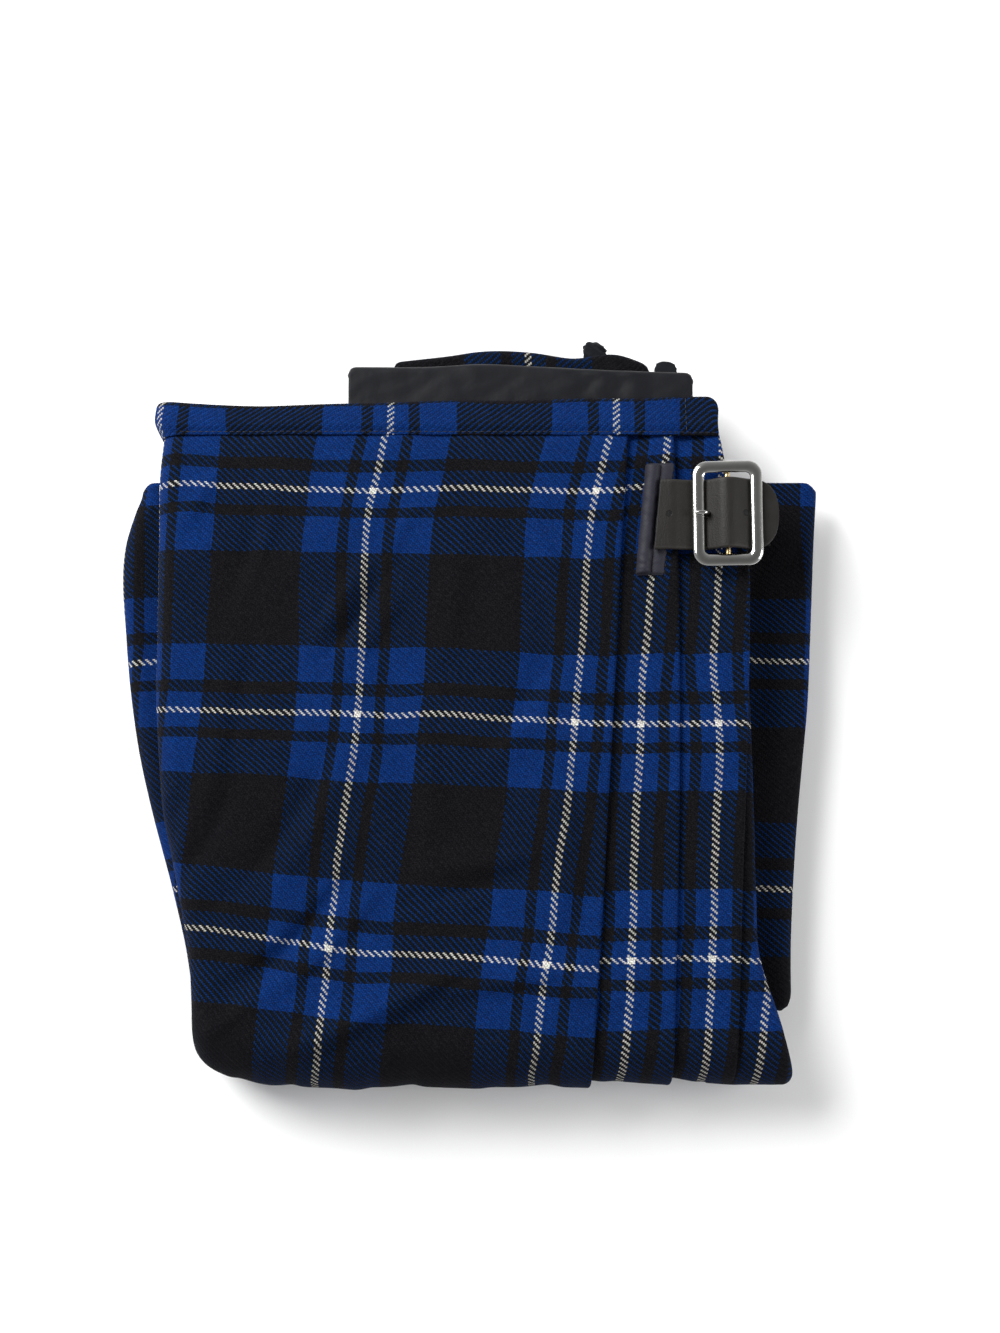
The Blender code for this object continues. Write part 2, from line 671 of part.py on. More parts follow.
def add_welt(name, top_x, top_y, bottom_x, bottom_y, wide, high, rows=9, columns=6):
    """A rounded binding along one side of the slit, lying on the first pleat."""
    side = np.linspace(-1, 1, columns)
    along = np.linspace(0, 1, rows)[:, None]
    x = (top_x + (bottom_x - top_x) * along + side * wide / 2) * MM
    y = (top_y + (bottom_y - top_y) * along + 0 * side) * MM
    base = strip_lift(1, x, y) + CLOTH / 2 + GAP
    crown = WELT_EDGE + (1 - WELT_EDGE) * np.sqrt(1 - side**2)
    crown = high * MM * crown * np.where(along * (1 - along) > 0, 1.0, WELT_END)
    upper = np.stack([x, y, surface_z(x, y, base + crown)], axis=-1)
    lower = np.stack([x, y, surface_z(x, y, base)], axis=-1)
    loop = np.concatenate([upper, lower[:, ::-1]], axis=1)
    count = 2 * columns
    faces = grid_faces(rows, count, closed=True)
    faces.append(tuple(range(count)))
    faces.append(tuple((rows - 1) * count + i for i in range(count))[::-1])
    return add_mesh(name, loop.reshape(-1, 3), faces, "lining")


def add_strap():
    """The strap: out of the slit, under the frame, over its middle bar and under the frame again."""
    run = smooth_run(STRAP_RUN, 2)
    side = np.linspace(1, -1, 7)
    tip = np.clip((run[:, 0] - (run[-1, 0] - STRAP_TIP)) / STRAP_TIP, 0, TIP_BLUNT)
    half = STRAP_WIDE / 2 * (1 - tip**TIP_POWER) ** (1 / TIP_POWER)
    y = STRAP_Y + half[:, None] * side
    start = welt_right(y) + WELT_GAP - run[0, 0]
    x = run[:, :1] + start * (1 - ramp(run[:, :1], *STRAP_BEND))
    z = strap_z(run[:, 1:] + STRAP_THICK / 2) + 0 * y
    points = np.stack([x, y, z], axis=-1).transpose(1, 0, 2)
    strap = add_cloth("strap", points, STRAP_THICK, "leather")
    bpy.ops.mesh.primitive_cylinder_add(
        vertices=ROUND_SIDES,
        radius=PRONG_HOLE,
        depth=HOLE_DEPTH,
        location=(PRONG_HOLE_X, STRAP_Y, strap_z(STRAP_THICK)),
    )
    cut_with(strap, bpy.context.object, "prong_hole")
    return strap


def add_guide(item):
    """Move a cutter to the guides and keep it out of the part."""
    for owner in list(item.users_collection):
        owner.objects.unlink(item)
    bpy.data.collections["cutters"].objects.link(item)
    item.hide_render = True
    item.display_type = "WIRE"


def cut_with(item, cutter, name):
    cutter.name = name
    add_guide(cutter)
    cut = item.modifiers.new(name, "BOOLEAN")
    cut.operation = "DIFFERENCE"
    cut.object = cutter


def add_tab():
    """The buckle's tab: in under the bar, round it and out over itself, with a slot for the prong."""
    bar = np.array([FRAME_X, FRAME_LIFT - BAR_SAG])
    radius = BAR_RADIUS + TAB_CLEAR + TAB_THICK / 2
    angle = np.linspace(*TAB_TURN, 11)
    turn = bar + radius * np.stack([np.cos(angle), np.sin(angle)], axis=1)
    run = np.vstack([smooth_run(TAB_IN, 2)[:-1], turn, smooth_run(TAB_OUT, 2)[1:]])
    y = STRAP_Y + TAB_WIDE / 2 * np.linspace(-1, 1, 4)
    x, lift = run[:, :1], run[:, 1:]
    points = np.stack(np.broadcast_arrays(x, y, strap_z(lift)), axis=-1)
    tab = add_cloth("buckle_tab", points, TAB_THICK, "leather")
    bpy.ops.mesh.primitive_cube_add(size=1, location=(FRAME_X, STRAP_Y, strap_z(bar[1])), scale=TAB_SLOT)
    cut_with(tab, bpy.context.object, "prong_slot")
    return tab


def rounded_outline(wide, long, corner, steps=5):
    """Points round a rectangle with rounded corners, counter-clockwise."""
    points = []
    for quarter in range(4):
        start = quarter * math.pi / 2
        side_x = 1 if quarter in (0, 3) else -1
        side_y = 1 if quarter < 2 else -1
        for angle in start + math.pi / 2 * np.linspace(0, 1, steps):
            x = side_x * (wide / 2 - corner) + corner * math.cos(angle)
            y = side_y * (long / 2 - corner) + corner * math.sin(angle)
            points.append((x, y))
    return points


def mesh_from(item, name, material):
    """The evaluated curve as a mesh object with its seams welded."""
    bpy.context.view_layer.update()
    evaluated = item.evaluated_get(bpy.context.evaluated_depsgraph_get())
    mesh = bpy.data.meshes.new_from_object(evaluated)
    work = bmesh.new()
    work.from_mesh(mesh)
    bmesh.ops.remove_doubles(work, verts=work.verts, dist=0.00001)
    bmesh.ops.recalc_face_normals(work, faces=work.faces)
    work.to_mesh(mesh)
    work.free()
    mesh.materials.clear()
    mesh.materials.append(bpy.data.materials[material])
    new = bpy.data.objects.new(name, mesh)
    new.matrix_world = item.matrix_world.copy()
    bpy.data.collections["kilt"].objects.link(new)
    bpy.data.objects.remove(item, do_unlink=True)
    return new


def add_frame():
    """The buckle's frame, rounded at its edges, with its middle bar joined on below."""
    curve = bpy.data.curves.new("frame_outline", "CURVE")
    curve.dimensions = "2D"
    curve.fill_mode = "BOTH"
    curve.bevel_depth = FRAME_ROUND
    curve.bevel_resolution = 1
    curve.extrude = FRAME_THICK / 2 - FRAME_ROUND
    inner_wide, inner_long = FRAME_WIDE - 2 * FRAME_BAR, FRAME_LONG - 2 * FRAME_BAR
    outlines = [
        rounded_outline(FRAME_WIDE - 2 * FRAME_ROUND, FRAME_LONG - 2 * FRAME_ROUND, FRAME_CORNER - FRAME_ROUND),
        rounded_outline(inner_wide + 2 * FRAME_ROUND, inner_long + 2 * FRAME_ROUND, FRAME_INNER_CORNER, 4),
    ]
    for outline in outlines:
        spline = curve.splines.new("POLY")
        spline.points.add(len(outline) - 1)
        for point, (x, y) in zip(spline.points, outline):
            point.co = (x, y, 0, 1)
        spline.use_cyclic_u = True
    outline = bpy.data.objects.new("frame_outline", curve)
    bpy.data.collections["kilt"].objects.link(outline)
    frame = mesh_from(outline, "buckle_frame", "nickel")
    length = FRAME_LONG - FRAME_BAR
    bpy.ops.mesh.primitive_cylinder_add(
        vertices=ROUND_SIDES,
        radius=BAR_RADIUS,
        depth=length,
        rotation=(math.pi / 2, 0, 0),
        location=(0, 0, -BAR_SAG),
    )
    bar = bpy.context.object
    bar.name = "middle_bar"
    add_guide(bar)
    bar.parent = frame
    join = frame.modifiers.new("middle_bar", "BOOLEAN")
    join.operation = "UNION"
    join.object = bar
    frame.location = (FRAME_X, STRAP_Y, strap_z(FRAME_LIFT))
    frame.rotation_euler = (0, FRAME_TILT, 0)
    return frame


def add_prong():
    """The prong: a hook under the middle bar, up through the strap and over the frame's left side."""
    run = smooth_run(PRONG_RUN, 2)
    curve = bpy.data.curves.new("buckle_prong", "CURVE")
    curve.dimensions = "3D"
    curve.bevel_depth = PRONG_RADIUS
    curve.bevel_resolution = 2
    curve.use_fill_caps = True
    spline = curve.splines.new("POLY")
    spline.points.add(len(run) - 1)
    for point, (x, lift) in zip(spline.points, run):
        point.co = (x, STRAP_Y, strap_z(lift), 1)
    curve.materials.append(bpy.data.materials["nickel"])
    prong = bpy.data.objects.new("buckle_prong", curve)
    bpy.data.collections["kilt"].objects.link(prong)
    return prong


def main():
    clear_scene()
    for name in ("kilt", "cutters"):
        bpy.context.scene.collection.children.link(bpy.data.collections.new(name))
    for name in COLOURS:
        make_material(name)
    add_core()
    for pleat, columns in enumerate((14, 5, 5, 4)):
        add_strip(pleat, columns)
    add_waistband()
    add_tier("lining_strip", LINING_X, LINING_TOP, LINING_START, LINING_BACK, lining_z, 14, "lining")
    add_tier(
        "waistband_back", BACK_BAND_X, BACK_BAND_TOP, BACK_BAND_START, BACK_BAND_BACK, back_band_z, 14, "tartan"
    )
    for row in LOOPS:
        add_loop(*row)
    add_hem("hem_left", HEM_ROLL_LEFT, -1)
    add_hem("hem_right", HEM_ROLL_RIGHT, 1)
    for row in WELTS:
        add_welt(*row)
    add_strap()
    add_tab()
    add_frame()
    add_prong()


main()
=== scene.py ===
"""Scottish kilt, buckled, laid flat and folded in four, dressed over its solids.

X runs across the stack and +Y toward the waist, in metres. Cloth is carried along the stack from the waist to
the bottom fold and round it: `lift` is how far out of the hidden layers' top a point lies. A piece's own UV
map holds its place on the flat cloth, in metres, so that the woven checks follow every fold.
"""

import functools
import math

import bpy
import numpy as np
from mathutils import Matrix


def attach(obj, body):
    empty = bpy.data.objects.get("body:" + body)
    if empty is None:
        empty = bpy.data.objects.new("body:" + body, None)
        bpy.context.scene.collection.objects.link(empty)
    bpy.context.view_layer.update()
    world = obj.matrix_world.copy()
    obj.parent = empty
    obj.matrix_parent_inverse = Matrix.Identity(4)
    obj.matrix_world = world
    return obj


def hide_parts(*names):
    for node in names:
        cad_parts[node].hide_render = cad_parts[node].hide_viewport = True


bl_info = {
    "name": "Folded kilt",
    "version": (1, 0, 0),
    "blender": (4, 5, 0),
    "location": "3D View > Sidebar > Kilt",
    "description": "A pleated tartan kilt, buckled and folded flat, with its strap and buckle",
    "category": "Object",
}

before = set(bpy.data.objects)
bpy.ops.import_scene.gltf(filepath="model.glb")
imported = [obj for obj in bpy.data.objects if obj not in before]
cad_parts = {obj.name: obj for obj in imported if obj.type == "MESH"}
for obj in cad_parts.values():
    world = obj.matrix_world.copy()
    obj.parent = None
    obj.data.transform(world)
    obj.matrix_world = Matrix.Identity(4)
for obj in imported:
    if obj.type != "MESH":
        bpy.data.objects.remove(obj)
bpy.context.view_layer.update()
MM = 0.001

# The stack, as the solids have it
CLOTH = 1.4 * MM
GAP = 0.4 * MM
LAYER = CLOTH + GAP
MIDDLE = GAP + CLOTH / 2
HALF = 21.5 * MM
FOLD_RADIUS = 20.5 * MM
FOLD_HEIGHT = 22.5 * MM
FOLD_Y = -157.8 * MM
FOLD_TURN = math.radians(162)
CORNER_RISE = 10 * MM
CORNER_START, CORNER_END = 85 * MM, 130 * MM
CLOTH_END = 131 * MM
WAIST_DROP = 6 * MM
DROOP_START, WAIST_Y = 112 * MM, 145 * MM
HEM_Y, HEM_END = 106.5 * MM, -145 * MM
ROLL_RADIUS = 11 * MM
ROLL_TURN = math.radians(130)
HEM_TURN = math.radians(145)
PLEAT_FOLD = 5 * MM
RETURN = 12 * MM
TUCK = 12 * MM
TIER_FOLD, TIER_CORNER = 2.6 * MM, 3.5 * MM

# The last pleat, which spreads and sags at the bottom fold
LAST_SPREAD, LAST_SAG = 3.2 * MM, 4.0 * MM
LAST_SPREAD_START, LAST_SPREAD_END = 112 * MM, 156 * MM

# The hem half's strips: fold, inner edge, least width, and a white line of each
HEM_ROLLS = {"hem_left": 9.9 * MM, "hem_right": 5.4 * MM}
HEM_STARTS = {"hem_left": -133 * MM, "hem_right": 117 * MM}
HEM_LEAST = {"hem_left": 48 * MM, "hem_right": 16 * MM}
HEM_LINES = {"hem_left": -171 * MM, "hem_right": 83.4 * MM}
HEM_CORNER, HEM_WEFT_LINE = 9 * MM, 18.6 * MM

# The front waistband, one of its white lines, and its seams
BAND_SEAM, BAND_TOP, BAND_FACING = 124.6 * MM, 144.6 * MM, 133.6 * MM
BAND_LEFT, BAND_RIGHT, BAND_CORNER = -133.5 * MM, 118 * MM, 5 * MM
BAND_STEP, BAND_PUFF, BAND_LINE = 0.4, 0.55 * MM, -38.4 * MM
BAND_FOLD, BAND_SLANT, BAND_SEAM_THREADS = -145.2 * MM, 4.8 * MM, 16
SEAM_PULL, SEAM_STITCH_RISE, SEAM_ENDS = 1.1 * MM, 1.4 * MM, (-138 * MM, 117 * MM)
# where the groove beside the seam starts, is full, lets go and ends, in mm over the seam
SEAM_GROOVE = (-2.2, -0.2, 0.8, 5.0)
OVERLAP_X = 102.8 * MM
STITCH_STEP, WELT_STITCH_STEP = 1.35, 1.4

# Edges seen from above, in mm
EDGES = [
    # y, left, apron, pleat_1, pleat_2, pleat_3, hem_left, hem_right
    (-180, -126.8, 56.0, 93.0, 121.5, 146.5, -127.5, 151.0),
    (-160, -127.0, 57.2, 93.6, 122.5, 142.3, -128.5, 151.0),
    (-118, -129.4, 60.0, 95.0, 124.5, 133.4, -134.0, 151.2),
    (-90, -135.0, 62.0, 96.0, 125.8, 132.8, -141.0, 152.8),
    (-50, -143.2, 64.3, 97.2, 127.8, 132.4, -152.5, 156.3),
    (-28, -145.3, 65.8, 97.7, 129.0, 132.2, -158.0, 158.8),
    (0, -147.2, 67.4, 98.1, 130.2, 131.6, -163.0, 161.9),
    (30, -147.4, 69.2, 98.3, 131.3, 130.3, -166.5, 163.8),
    (75, -147.7, 71.8, 98.1, 130.2, 128.2, -168.4, 166.4),
    (105, -148.0, 74.0, 97.4, 122.3, 120.0, -160.8, 168.3),
    (125, -147.0, 75.2, 97.0, 119.0, 117.0, -159.0, 168.3),
    (145, -149.0, 76.5, 96.8, 117.5, 116.0, -159.0, 168.3),
]
EDGE_NAMES = ("left", "apron", "pleat_1", "pleat_2", "pleat_3", "hem_left", "hem_right")
STRIPS = [
    # node, right edge, level there in layers
    ("over_apron", "apron", 0.0),
    ("pleat_1", "pleat_1", -0.4),
    ("pleat_2", "pleat_2", -0.8),
    ("pleat_3", "pleat_3", -2.8),
]

# White warp lines on the cloth, in mm: y and x of the line
APRON_LINE_LEFT = [(-180, -70), (-79, -60.4), (-37, -55.4), (6, -50.8), (98, -45.2), (138, -38.4)]
APRON_LINE_RIGHT = [(-174, 29.6), (-123, 36.6), (-87, 40.4), (-10, 50), (40, 54.5), (98, 60.1), (137, 69.9)]
PLEAT_LINES = {
    "pleat_1": [(-180, 69.6), (-118, 74.1), (6, 80.9), (41, 85), (123, 93.1)],
    "pleat_2": [(-180, 107), (-92, 112.5), (-7, 115.2), (20, 114.3), (47, 117.5), (125, 119)],
    "pleat_3": [(-180, 131.4), (-151, 134), (-127, 136.8), (0, 141), (125, 146)],
}

# White weft lines, in mm: x, then the y of three lines
WEFT_LINES = {
    "over_apron": [
        (-150, 100.4, -5.2, -105.0),
        (-96, 99.0, -6.8, -111.2),
        (-50, 97.6, -8.2, -117.4),
        (0, 97.0, -10.4, -121.2),
        (60, 96.5, -12.8, -124.7),
    ],
    "pleat_1": [(60, 99.5, -12.6, -121.6), (100, 101.5, -12.6, -120.6)],
    "pleat_2": [(90, 100.5, -12.6, -120.4), (130, 100.5, -12.0, -120.4)],
    "pleat_3": [(110, 100.5, -12.6, -121.6), (140, 100.5, -12.6, -121.6)],
}

# Broad unevenness of the stack's top and the cloth's creases, in mm
SWELLS = [
    # x, y, degrees, length, width, height
    (-55, -146, 32, 46, 20, 1.6),
    (-100, -105, 38, 52, 30, -1.3),
    (-70, 70, 80, 70, 34, 1.2),
    (20, 10, 96, 80, 40, 1.4),
    (-20, -70, 60, 60, 32, -1.1),
    (-112, 20, 88, 70, 28, -0.9),
]
CREASES = [
    # x, y, degrees, length, width, height, lean, bend
    (-58, -153, 26, 32, 5.5, 2.4, 0.5, 0.002),
    (-24, -137, 34, 24, 5.0, 1.9, 0.4, -0.003),
    (16, -131, 10, 34, 6.0, 1.4, 0.3, 0.001),
    (58, -138, -14, 26, 5.5, 0.9, 0.3, 0.002),
    (-92, -128, 48, 30, 5.0, -1.3, 0.3, 0.004),
    (-78, -110, 44, 36, 4.6, -1.6, -0.3, 0.003),
    (-62, -113, 46, 30, 4.6, 1.3, 0.3, 0.002),
    (-108, -146, 40, 18, 4.6, 1.1, 0.2, 0.0),
    (-82, -58, 58, 40, 5.2, -1.2, 0.3, 0.003),
    (-72, -64, 60, 40, 5.4, 1.1, -0.3, 0.003),
    (-51, 39, 57, 20, 4.0, -1.9, 0.3, 0.003),
    (-60, 44, 60, 24, 4.8, 1.1, -0.3, 0.002),
    (-42, 33, 55, 20, 5.0, 0.9, 0.3, 0.002),
    (-34, 74, 64, 20, 4.6, 0.8, 0.3, -0.002),
    (-104, 66, 76, 22, 4.8, -1.0, 0.2, 0.004),
    (-96, 74, 74, 24, 5.0, 0.8, 0.2, 0.004),
    (-116, -22, 84, 34, 5.6, 1.0, 0.2, 0.001),
    (-104, 4, 80, 26, 4.8, -0.8, 0.2, 0.002),
    (-30, -44, 100, 32, 6.4, -1.1, 0.2, 0.002),
    (-18, -38, 96, 30, 5.6, 0.9, -0.2, 0.002),
    (8, -78, 8, 26, 5.2, 1.0, 0.3, 0.002),
    (0, -90, 12, 20, 4.2, -0.9, 0.2, 0.0),
    (24, 68, 118, 28, 6.4, -1.0, 0.2, 0.001),
    (34, 72, 116, 24, 5.4, 0.8, 0.2, 0.001),
    (-8, 44, 82, 34, 6.4, 0.9, 0.2, -0.001),
    (22, -6, 52, 26, 5.8, -0.9, 0.3, 0.002),
    (30, -12, 50, 24, 5.4, 0.8, -0.2, 0.002),
    (44, -52, 96, 40, 6.4, 1.0, 0.2, 0.001),
    (52, -96, 70, 26, 5.4, -0.8, 0.2, 0.002),
    (-128, 92, 60, 16, 4.6, 1.0, 0.2, 0.0),
    (-120, -66, 62, 24, 4.8, -1.0, 0.2, 0.002),
    (104, -60, 92, 40, 5.6, 0.9, 0.3, 0.0),
    (86, -96, 88, 34, 5.0, 0.8, -0.2, 0.001),
    (112, -132, 84, 26, 5.0, -0.8, 0.2, 0.0),
    (78, 20, 95, 36, 5.0, -0.7, 0.2, 0.0),
    (-138, -66, 72, 26, 5.4, -1.0, 0.2, 0.0),
    (-112, -186, 80, 14, 6.0, 2.0, 0.3, 0.004),
    (-84, -181, 100, 15, 5.4, -1.9, 0.2, -0.003),
    (-52, -188, 84, 13, 6.4, 1.8, 0.3, 0.002),
    (-27, -184, 98, 15, 5.2, -1.6, 0.3, 0.003),
    (4, -187, 76, 12, 5.8, 1.0, 0.2, -0.002),
    (36, -183, 94, 15, 6.2, -1.8, 0.3, 0.002),
    (61, -186, 86, 12, 5.0, 1.0, 0.2, 0.0),
    (103, -184, 88, 13, 5.0, 0.8, 0.2, 0.0),
]
CREASE_GAIN, WAVE_GAIN = 1.9, 2.4
# x, y and reach of the flat place under the strap, in mm
STRAP_FLAT = (117, 84, 34)

# Threads from the middle of one white line to the next, which lies over the outer ones
SETT = [
    # colour, threads
    ("blue", 10),
    ("black", 6),
    ("blue", 20),
    ("black", 52),
    ("blue", 20),
    ("black", 6),
    ("blue", 10),
]
SETT_THREADS = sum(row[1] for row in SETT)
# The weft lies closer: its threads to one sett
WEFT_THREADS = 148
WHITE_THREADS = 4

# Looks that stay the same for any colours of the yarns and the leather
DRIFTS = [
    # how fine the threads wander, and how far in metres
    (11.0, 0.0075),
    (38.0, 0.0022),
    (900.0, 0.00042),
]
FLUFF = (0.34, 0.33, 0.33, 1.0)
PALE_LEATHER = (0.017, 0.0155, 0.013, 1.0)
RUBBED_LEATHER = (0.045, 0.041, 0.036, 1.0)
# near-black painted shade inside the strap's punched holes, where the dark cloth below would show
HOLE_SHADE = (0.002, 0.002, 0.002, 1.0)

# The dip of the waistband's top edge, the tiers behind it and the belt loops: x and y of each row in mm
BAND_DIP = [(-152, -1.2), (-146, -2.4), (-128, -4), (-95, -4.4), (-55, -3.6), (0, -2.2), (60, -0.9), (118, 0)]
LINING_TOP = [(-58.5, 161.1), (-22.8, 161.1), (8, 162.6), (28.8, 161.6), (67.3, 159.6), (107, 158.6)]
LINING_ENDS, LINING_RUN = (-58.5 * MM, 107 * MM), (134 * MM, 152.5 * MM)
BACK_BAND_TOP = [(-37.4, 166.4), (-8.1, 169.9), (1.1, 171.4), (28.9, 171.4)]
BACK_BAND_TOP += [(48.9, 168.4), (72.8, 169.9), (79.1, 167.9), (87, 164.5)]
BACK_BAND_ENDS, BACK_BAND_RUN = (-37.4 * MM, 87 * MM), (153 * MM, 155.5 * MM)
BACK_BAND_Z, BACK_BAND_LINES = 25 * MM, (-28 * MM, 50 * MM)
LOOP_THICK, LOOP_WALL = 1.2 * MM, 1.1 * MM
LOOPS = [
    # node, left, right, start, tip, z, slope of the tip, rumple
    ("belt_loop_1", 55.4, 66.4, 159.5, 179.9, 17.6, 0.26, 0.6),
    ("belt_loop_2", 89.6, 100.4, 154.5, 166.9, 23.7, 0.04, 0.12),
]

# Slit, strap and buckle, as the solids have them, with their rows in mm
STRAP_Y = 85.0 * MM
STRAP_WIDE, STRAP_THICK = 33.5 * MM, 2.6 * MM
STRAP_TIP, TIP_POWER = 13 * MM, 2.4
STRAP_BEND = (90 * MM, 98 * MM)
WELT_GAP = 0.5 * MM
WELT_SPREAD, WELT_SHIFT = 1.6, 0.7
FRAME_X = 120.8 * MM
FRAME_WIDE, FRAME_LONG = 32.6 * MM, 50.2 * MM
FRAME_BAR, FRAME_THICK = 5.6 * MM, 2.6 * MM
FRAME_CORNER, FRAME_INNER_CORNER = 7 * MM, 2.4 * MM
FRAME_LIFT, FRAME_TILT = 6.9 * MM, math.radians(-4.8)
BAR_RADIUS, BAR_SAG = 1.3 * MM, 1.9 * MM
BRASS = (0.62, 0.47, 0.24)
PRONG_RADIUS = 0.9 * MM
PRONG_HOLE_X = 111.5 * MM
HOLE_STEP, HOLE_RADII = 18 * MM, (1.2 * MM, 1.6 * MM)
WELTS = [
    # node, top x, top y, bottom x, bottom y, wide, high
    ("slit_welt_left", 87.6, 110.5, 82.1, 56.7, 5.6, 3.8),
    ("slit_welt_right", 93.7, 110.5, 88.4, 56.7, 5.4, 1.5),
]
STRAP_RUN = [
    # x, lift of the underside
    (88.0, 2.7), (91.0, 3.0), (94.0, 3.2), (96.5, 3.0), (99.5, 2.2), (104.0, 1.5), (109.5, 1.4),
    (112.5, 2.6), (115.5, 5.0), (118.2, 7.3), (120.8, 8.2), (123.5, 7.8), (126.5, 6.4),
    (130.0, 4.4), (133.0, 3.6), (138.0, 3.5), (145.0, 3.4),
]
PRONG_RUN = [
    # x, lift of the middle
    (123.4, 6.3), (123.8, 4.9), (122.9, 3.1), (120.8, 2.3), (117.5, 1.3), (114.5, 0.5),
    (112.6, 0.9), (111.7, 2.9), (111.6, 6.0), (110.5, 8.5), (107.8, 8.9), (105.2, 8.3),
]
PRONG_TAPER = (0, 0.9, 0.985, 1), (1, 1.15, 1.05, 0.7)

# The hidden layers: four bundles from the floor up, with their rows in mm
BUNDLES = [
    # left edge, right edge, set in at the right, waist end, edge radius
    ("hem_left", "hem_right", 4.0, 105.5, 4.9),
    ("hem_left", "hem_right", 2.6, 106.5, 4.6),
    ("left", "pleat_3", 3.5, 155.0, 3.6),
    ("left", "pleat_3", 3.0, 150.0, 3.2),
]
HEM_TOP = HALF - 2.3 * MM
CORE_POINTS, CORE_POWER = 220, 0.22
NECK_LEAST, NECK_END, NECK_TOP_END = 16 * MM, 97 * MM, 116 * MM

# The stage, in metres
TABLE_SIDE = 12.0
LIGHTS = [
    # name, x, y, z, size, share of the key light's power
    ("key", -1.15, 0.95, 1.20, 1.1, 1.0),
    ("fill", 1.5, -0.15, 1.1, 0.9, 0.32),
]
AIM = (14.3 * MM, 13.2 * MM, 45 * MM)
SENSOR, HALF_VIEW = 24.0, math.radians(20)


def colour(name, description, default):
    return bpy.props.FloatVectorProperty(
        name=name, description=description, default=default, subtype="COLOR", min=0, max=1
    )


def number(name, description, default, **settings):
    return bpy.props.FloatProperty(name=name, description=description, default=default, **settings)


class KiltCloth(bpy.types.PropertyGroup):
    """Sizes and colours of the woven cloth."""

    sett: number("Sett", "Width of one repeat of the checks", 0.108, unit="LENGTH")
    wall: number("Cloth", "Thickness of one layer of cloth", 0.0013, unit="LENGTH")
    blue: colour("Blue", "Blue yarn", (0.0008, 0.0165, 0.093))
    black: colour("Black", "Black yarn", (0.0036, 0.0034, 0.0044))
    white: colour("White", "Off-white yarn", (0.50, 0.49, 0.45))
    nap: number("Nap", "How much the raised fibres show", 0.09, min=0, max=1)
    creases: number("Creases", "Depth of the creases, as a share of full depth", 1.0, min=0, max=1.5)


class KiltTrim(bpy.types.PropertyGroup):
    """Sizes and colours of the lining, strap, buckle and thread."""

    lining: colour("Lining", "Lining cloth", (0.0034, 0.0038, 0.0060))
    tape: colour("Tape", "Belt loops", (0.0018, 0.0026, 0.0052))
    binding: colour("Binding", "Slit binding", (0.019, 0.0185, 0.028))
    leather: colour("Leather", "Strap leather", (0.0064, 0.0058, 0.0048))
    nickel: colour("Nickel", "Buckle plating", (0.62, 0.62, 0.60))
    thread: colour("Thread", "Sewing thread", (0.003, 0.004, 0.010))
    stitch: number("Stitch", "Length of one stitch", 0.0022, unit="LENGTH")


class KiltStage(bpy.types.PropertyGroup):
    """Floor, light and camera."""

    floor: colour("Floor", "Colour of the table", (0.93, 0.93, 0.93))
    key: number("Key light", "Power of the main light, in watts", 58.0)
    sky: number("Sky", "Strength of the light all round", 0.65)
    elevation: number("Elevation", "Camera's angle above the table", math.radians(82), subtype="ANGLE")
    distance: number("Distance", "Camera's distance from the kilt", 0.8514, unit="LENGTH")


# --- shapes ---


def ramp(value, start, end):
    """0 before `start`, 1 past `end`, and a smooth step between."""
    part = np.clip((value - start) / (end - start), 0.0, 1.0)
    return part * part * (3 - 2 * part)


def join(*parts):
    """Points from arrays of their coordinates."""
    return np.stack(np.broadcast_arrays(*parts), axis=-1)


def circle(count):
    """Angles of even steps round a circle."""
    return np.linspace(0, 2 * math.pi, count, endpoint=False)


def step_lengths(points, axis=0):
    return np.linalg.norm(np.diff(points, axis=axis), axis=-1)


def hermite(rows, x, column=1):
    """A smooth curve through a table in mm: cubic Hermite pieces whose slopes are central differences."""
    table = np.array(rows, float) * MM
    knots, values = table[:, 0], table[:, column]
    slopes = np.gradient(values, knots)
    i = np.clip(np.searchsorted(knots, x, side="right") - 1, 0, len(knots) - 2)
    width = knots[i + 1] - knots[i]
    t = np.clip((x - knots[i]) / width, 0, 1)
    start = (1 + 2 * t) * (1 - t) ** 2 * values[i] + t * (1 - t) ** 2 * width * slopes[i]
    return start + t * t * (3 - 2 * t) * values[i + 1] - t * t * (1 - t) * width * slopes[i + 1]


def edge(name, y):
    """x of a named edge at y."""
    return hermite(EDGES, y, 1 + EDGE_NAMES.index(name))


def fold_y(x):
    """y where the bottom fold starts to turn, drawn up at its left corner."""
    return FOLD_Y + CORNER_RISE * ramp(-x, CORNER_START, CORNER_END)


def turned(x, y, centre_x, centre_y, degrees):
    """Distances in mm from a centre, along a direction and across it."""
    turn = math.radians(degrees)
    x, y = x / MM - centre_x, y / MM - centre_y
    return x * math.cos(turn) + y * math.sin(turn), y * math.cos(turn) - x * math.sin(turn)


def mounds(rows, x, y):
    """Long Gaussian mounds, each turned: height * exp(-(along / length)^2 - (across / width)^2)."""
    total = np.zeros(np.broadcast(x, y).shape)
    for *place, length, width, height in rows:
        along, across = turned(x, y, *place)
        total = total + height * np.exp(-((along / length) ** 2) - (across / width) ** 2)
    return total * MM


def waves(x, y):
    """Faint waves all over the cloth, in mm."""
    x, y = x / MM, y / MM
    coarse = 0.22 * np.sin(x / 9.1 + 1.3 * np.sin(y / 23)) * np.sin(y / 13.7 + 0.8 * np.sin(x / 31))
    return coarse + 0.12 * np.sin(x / 4.7 + y / 8.3 + np.sin(y / 11))


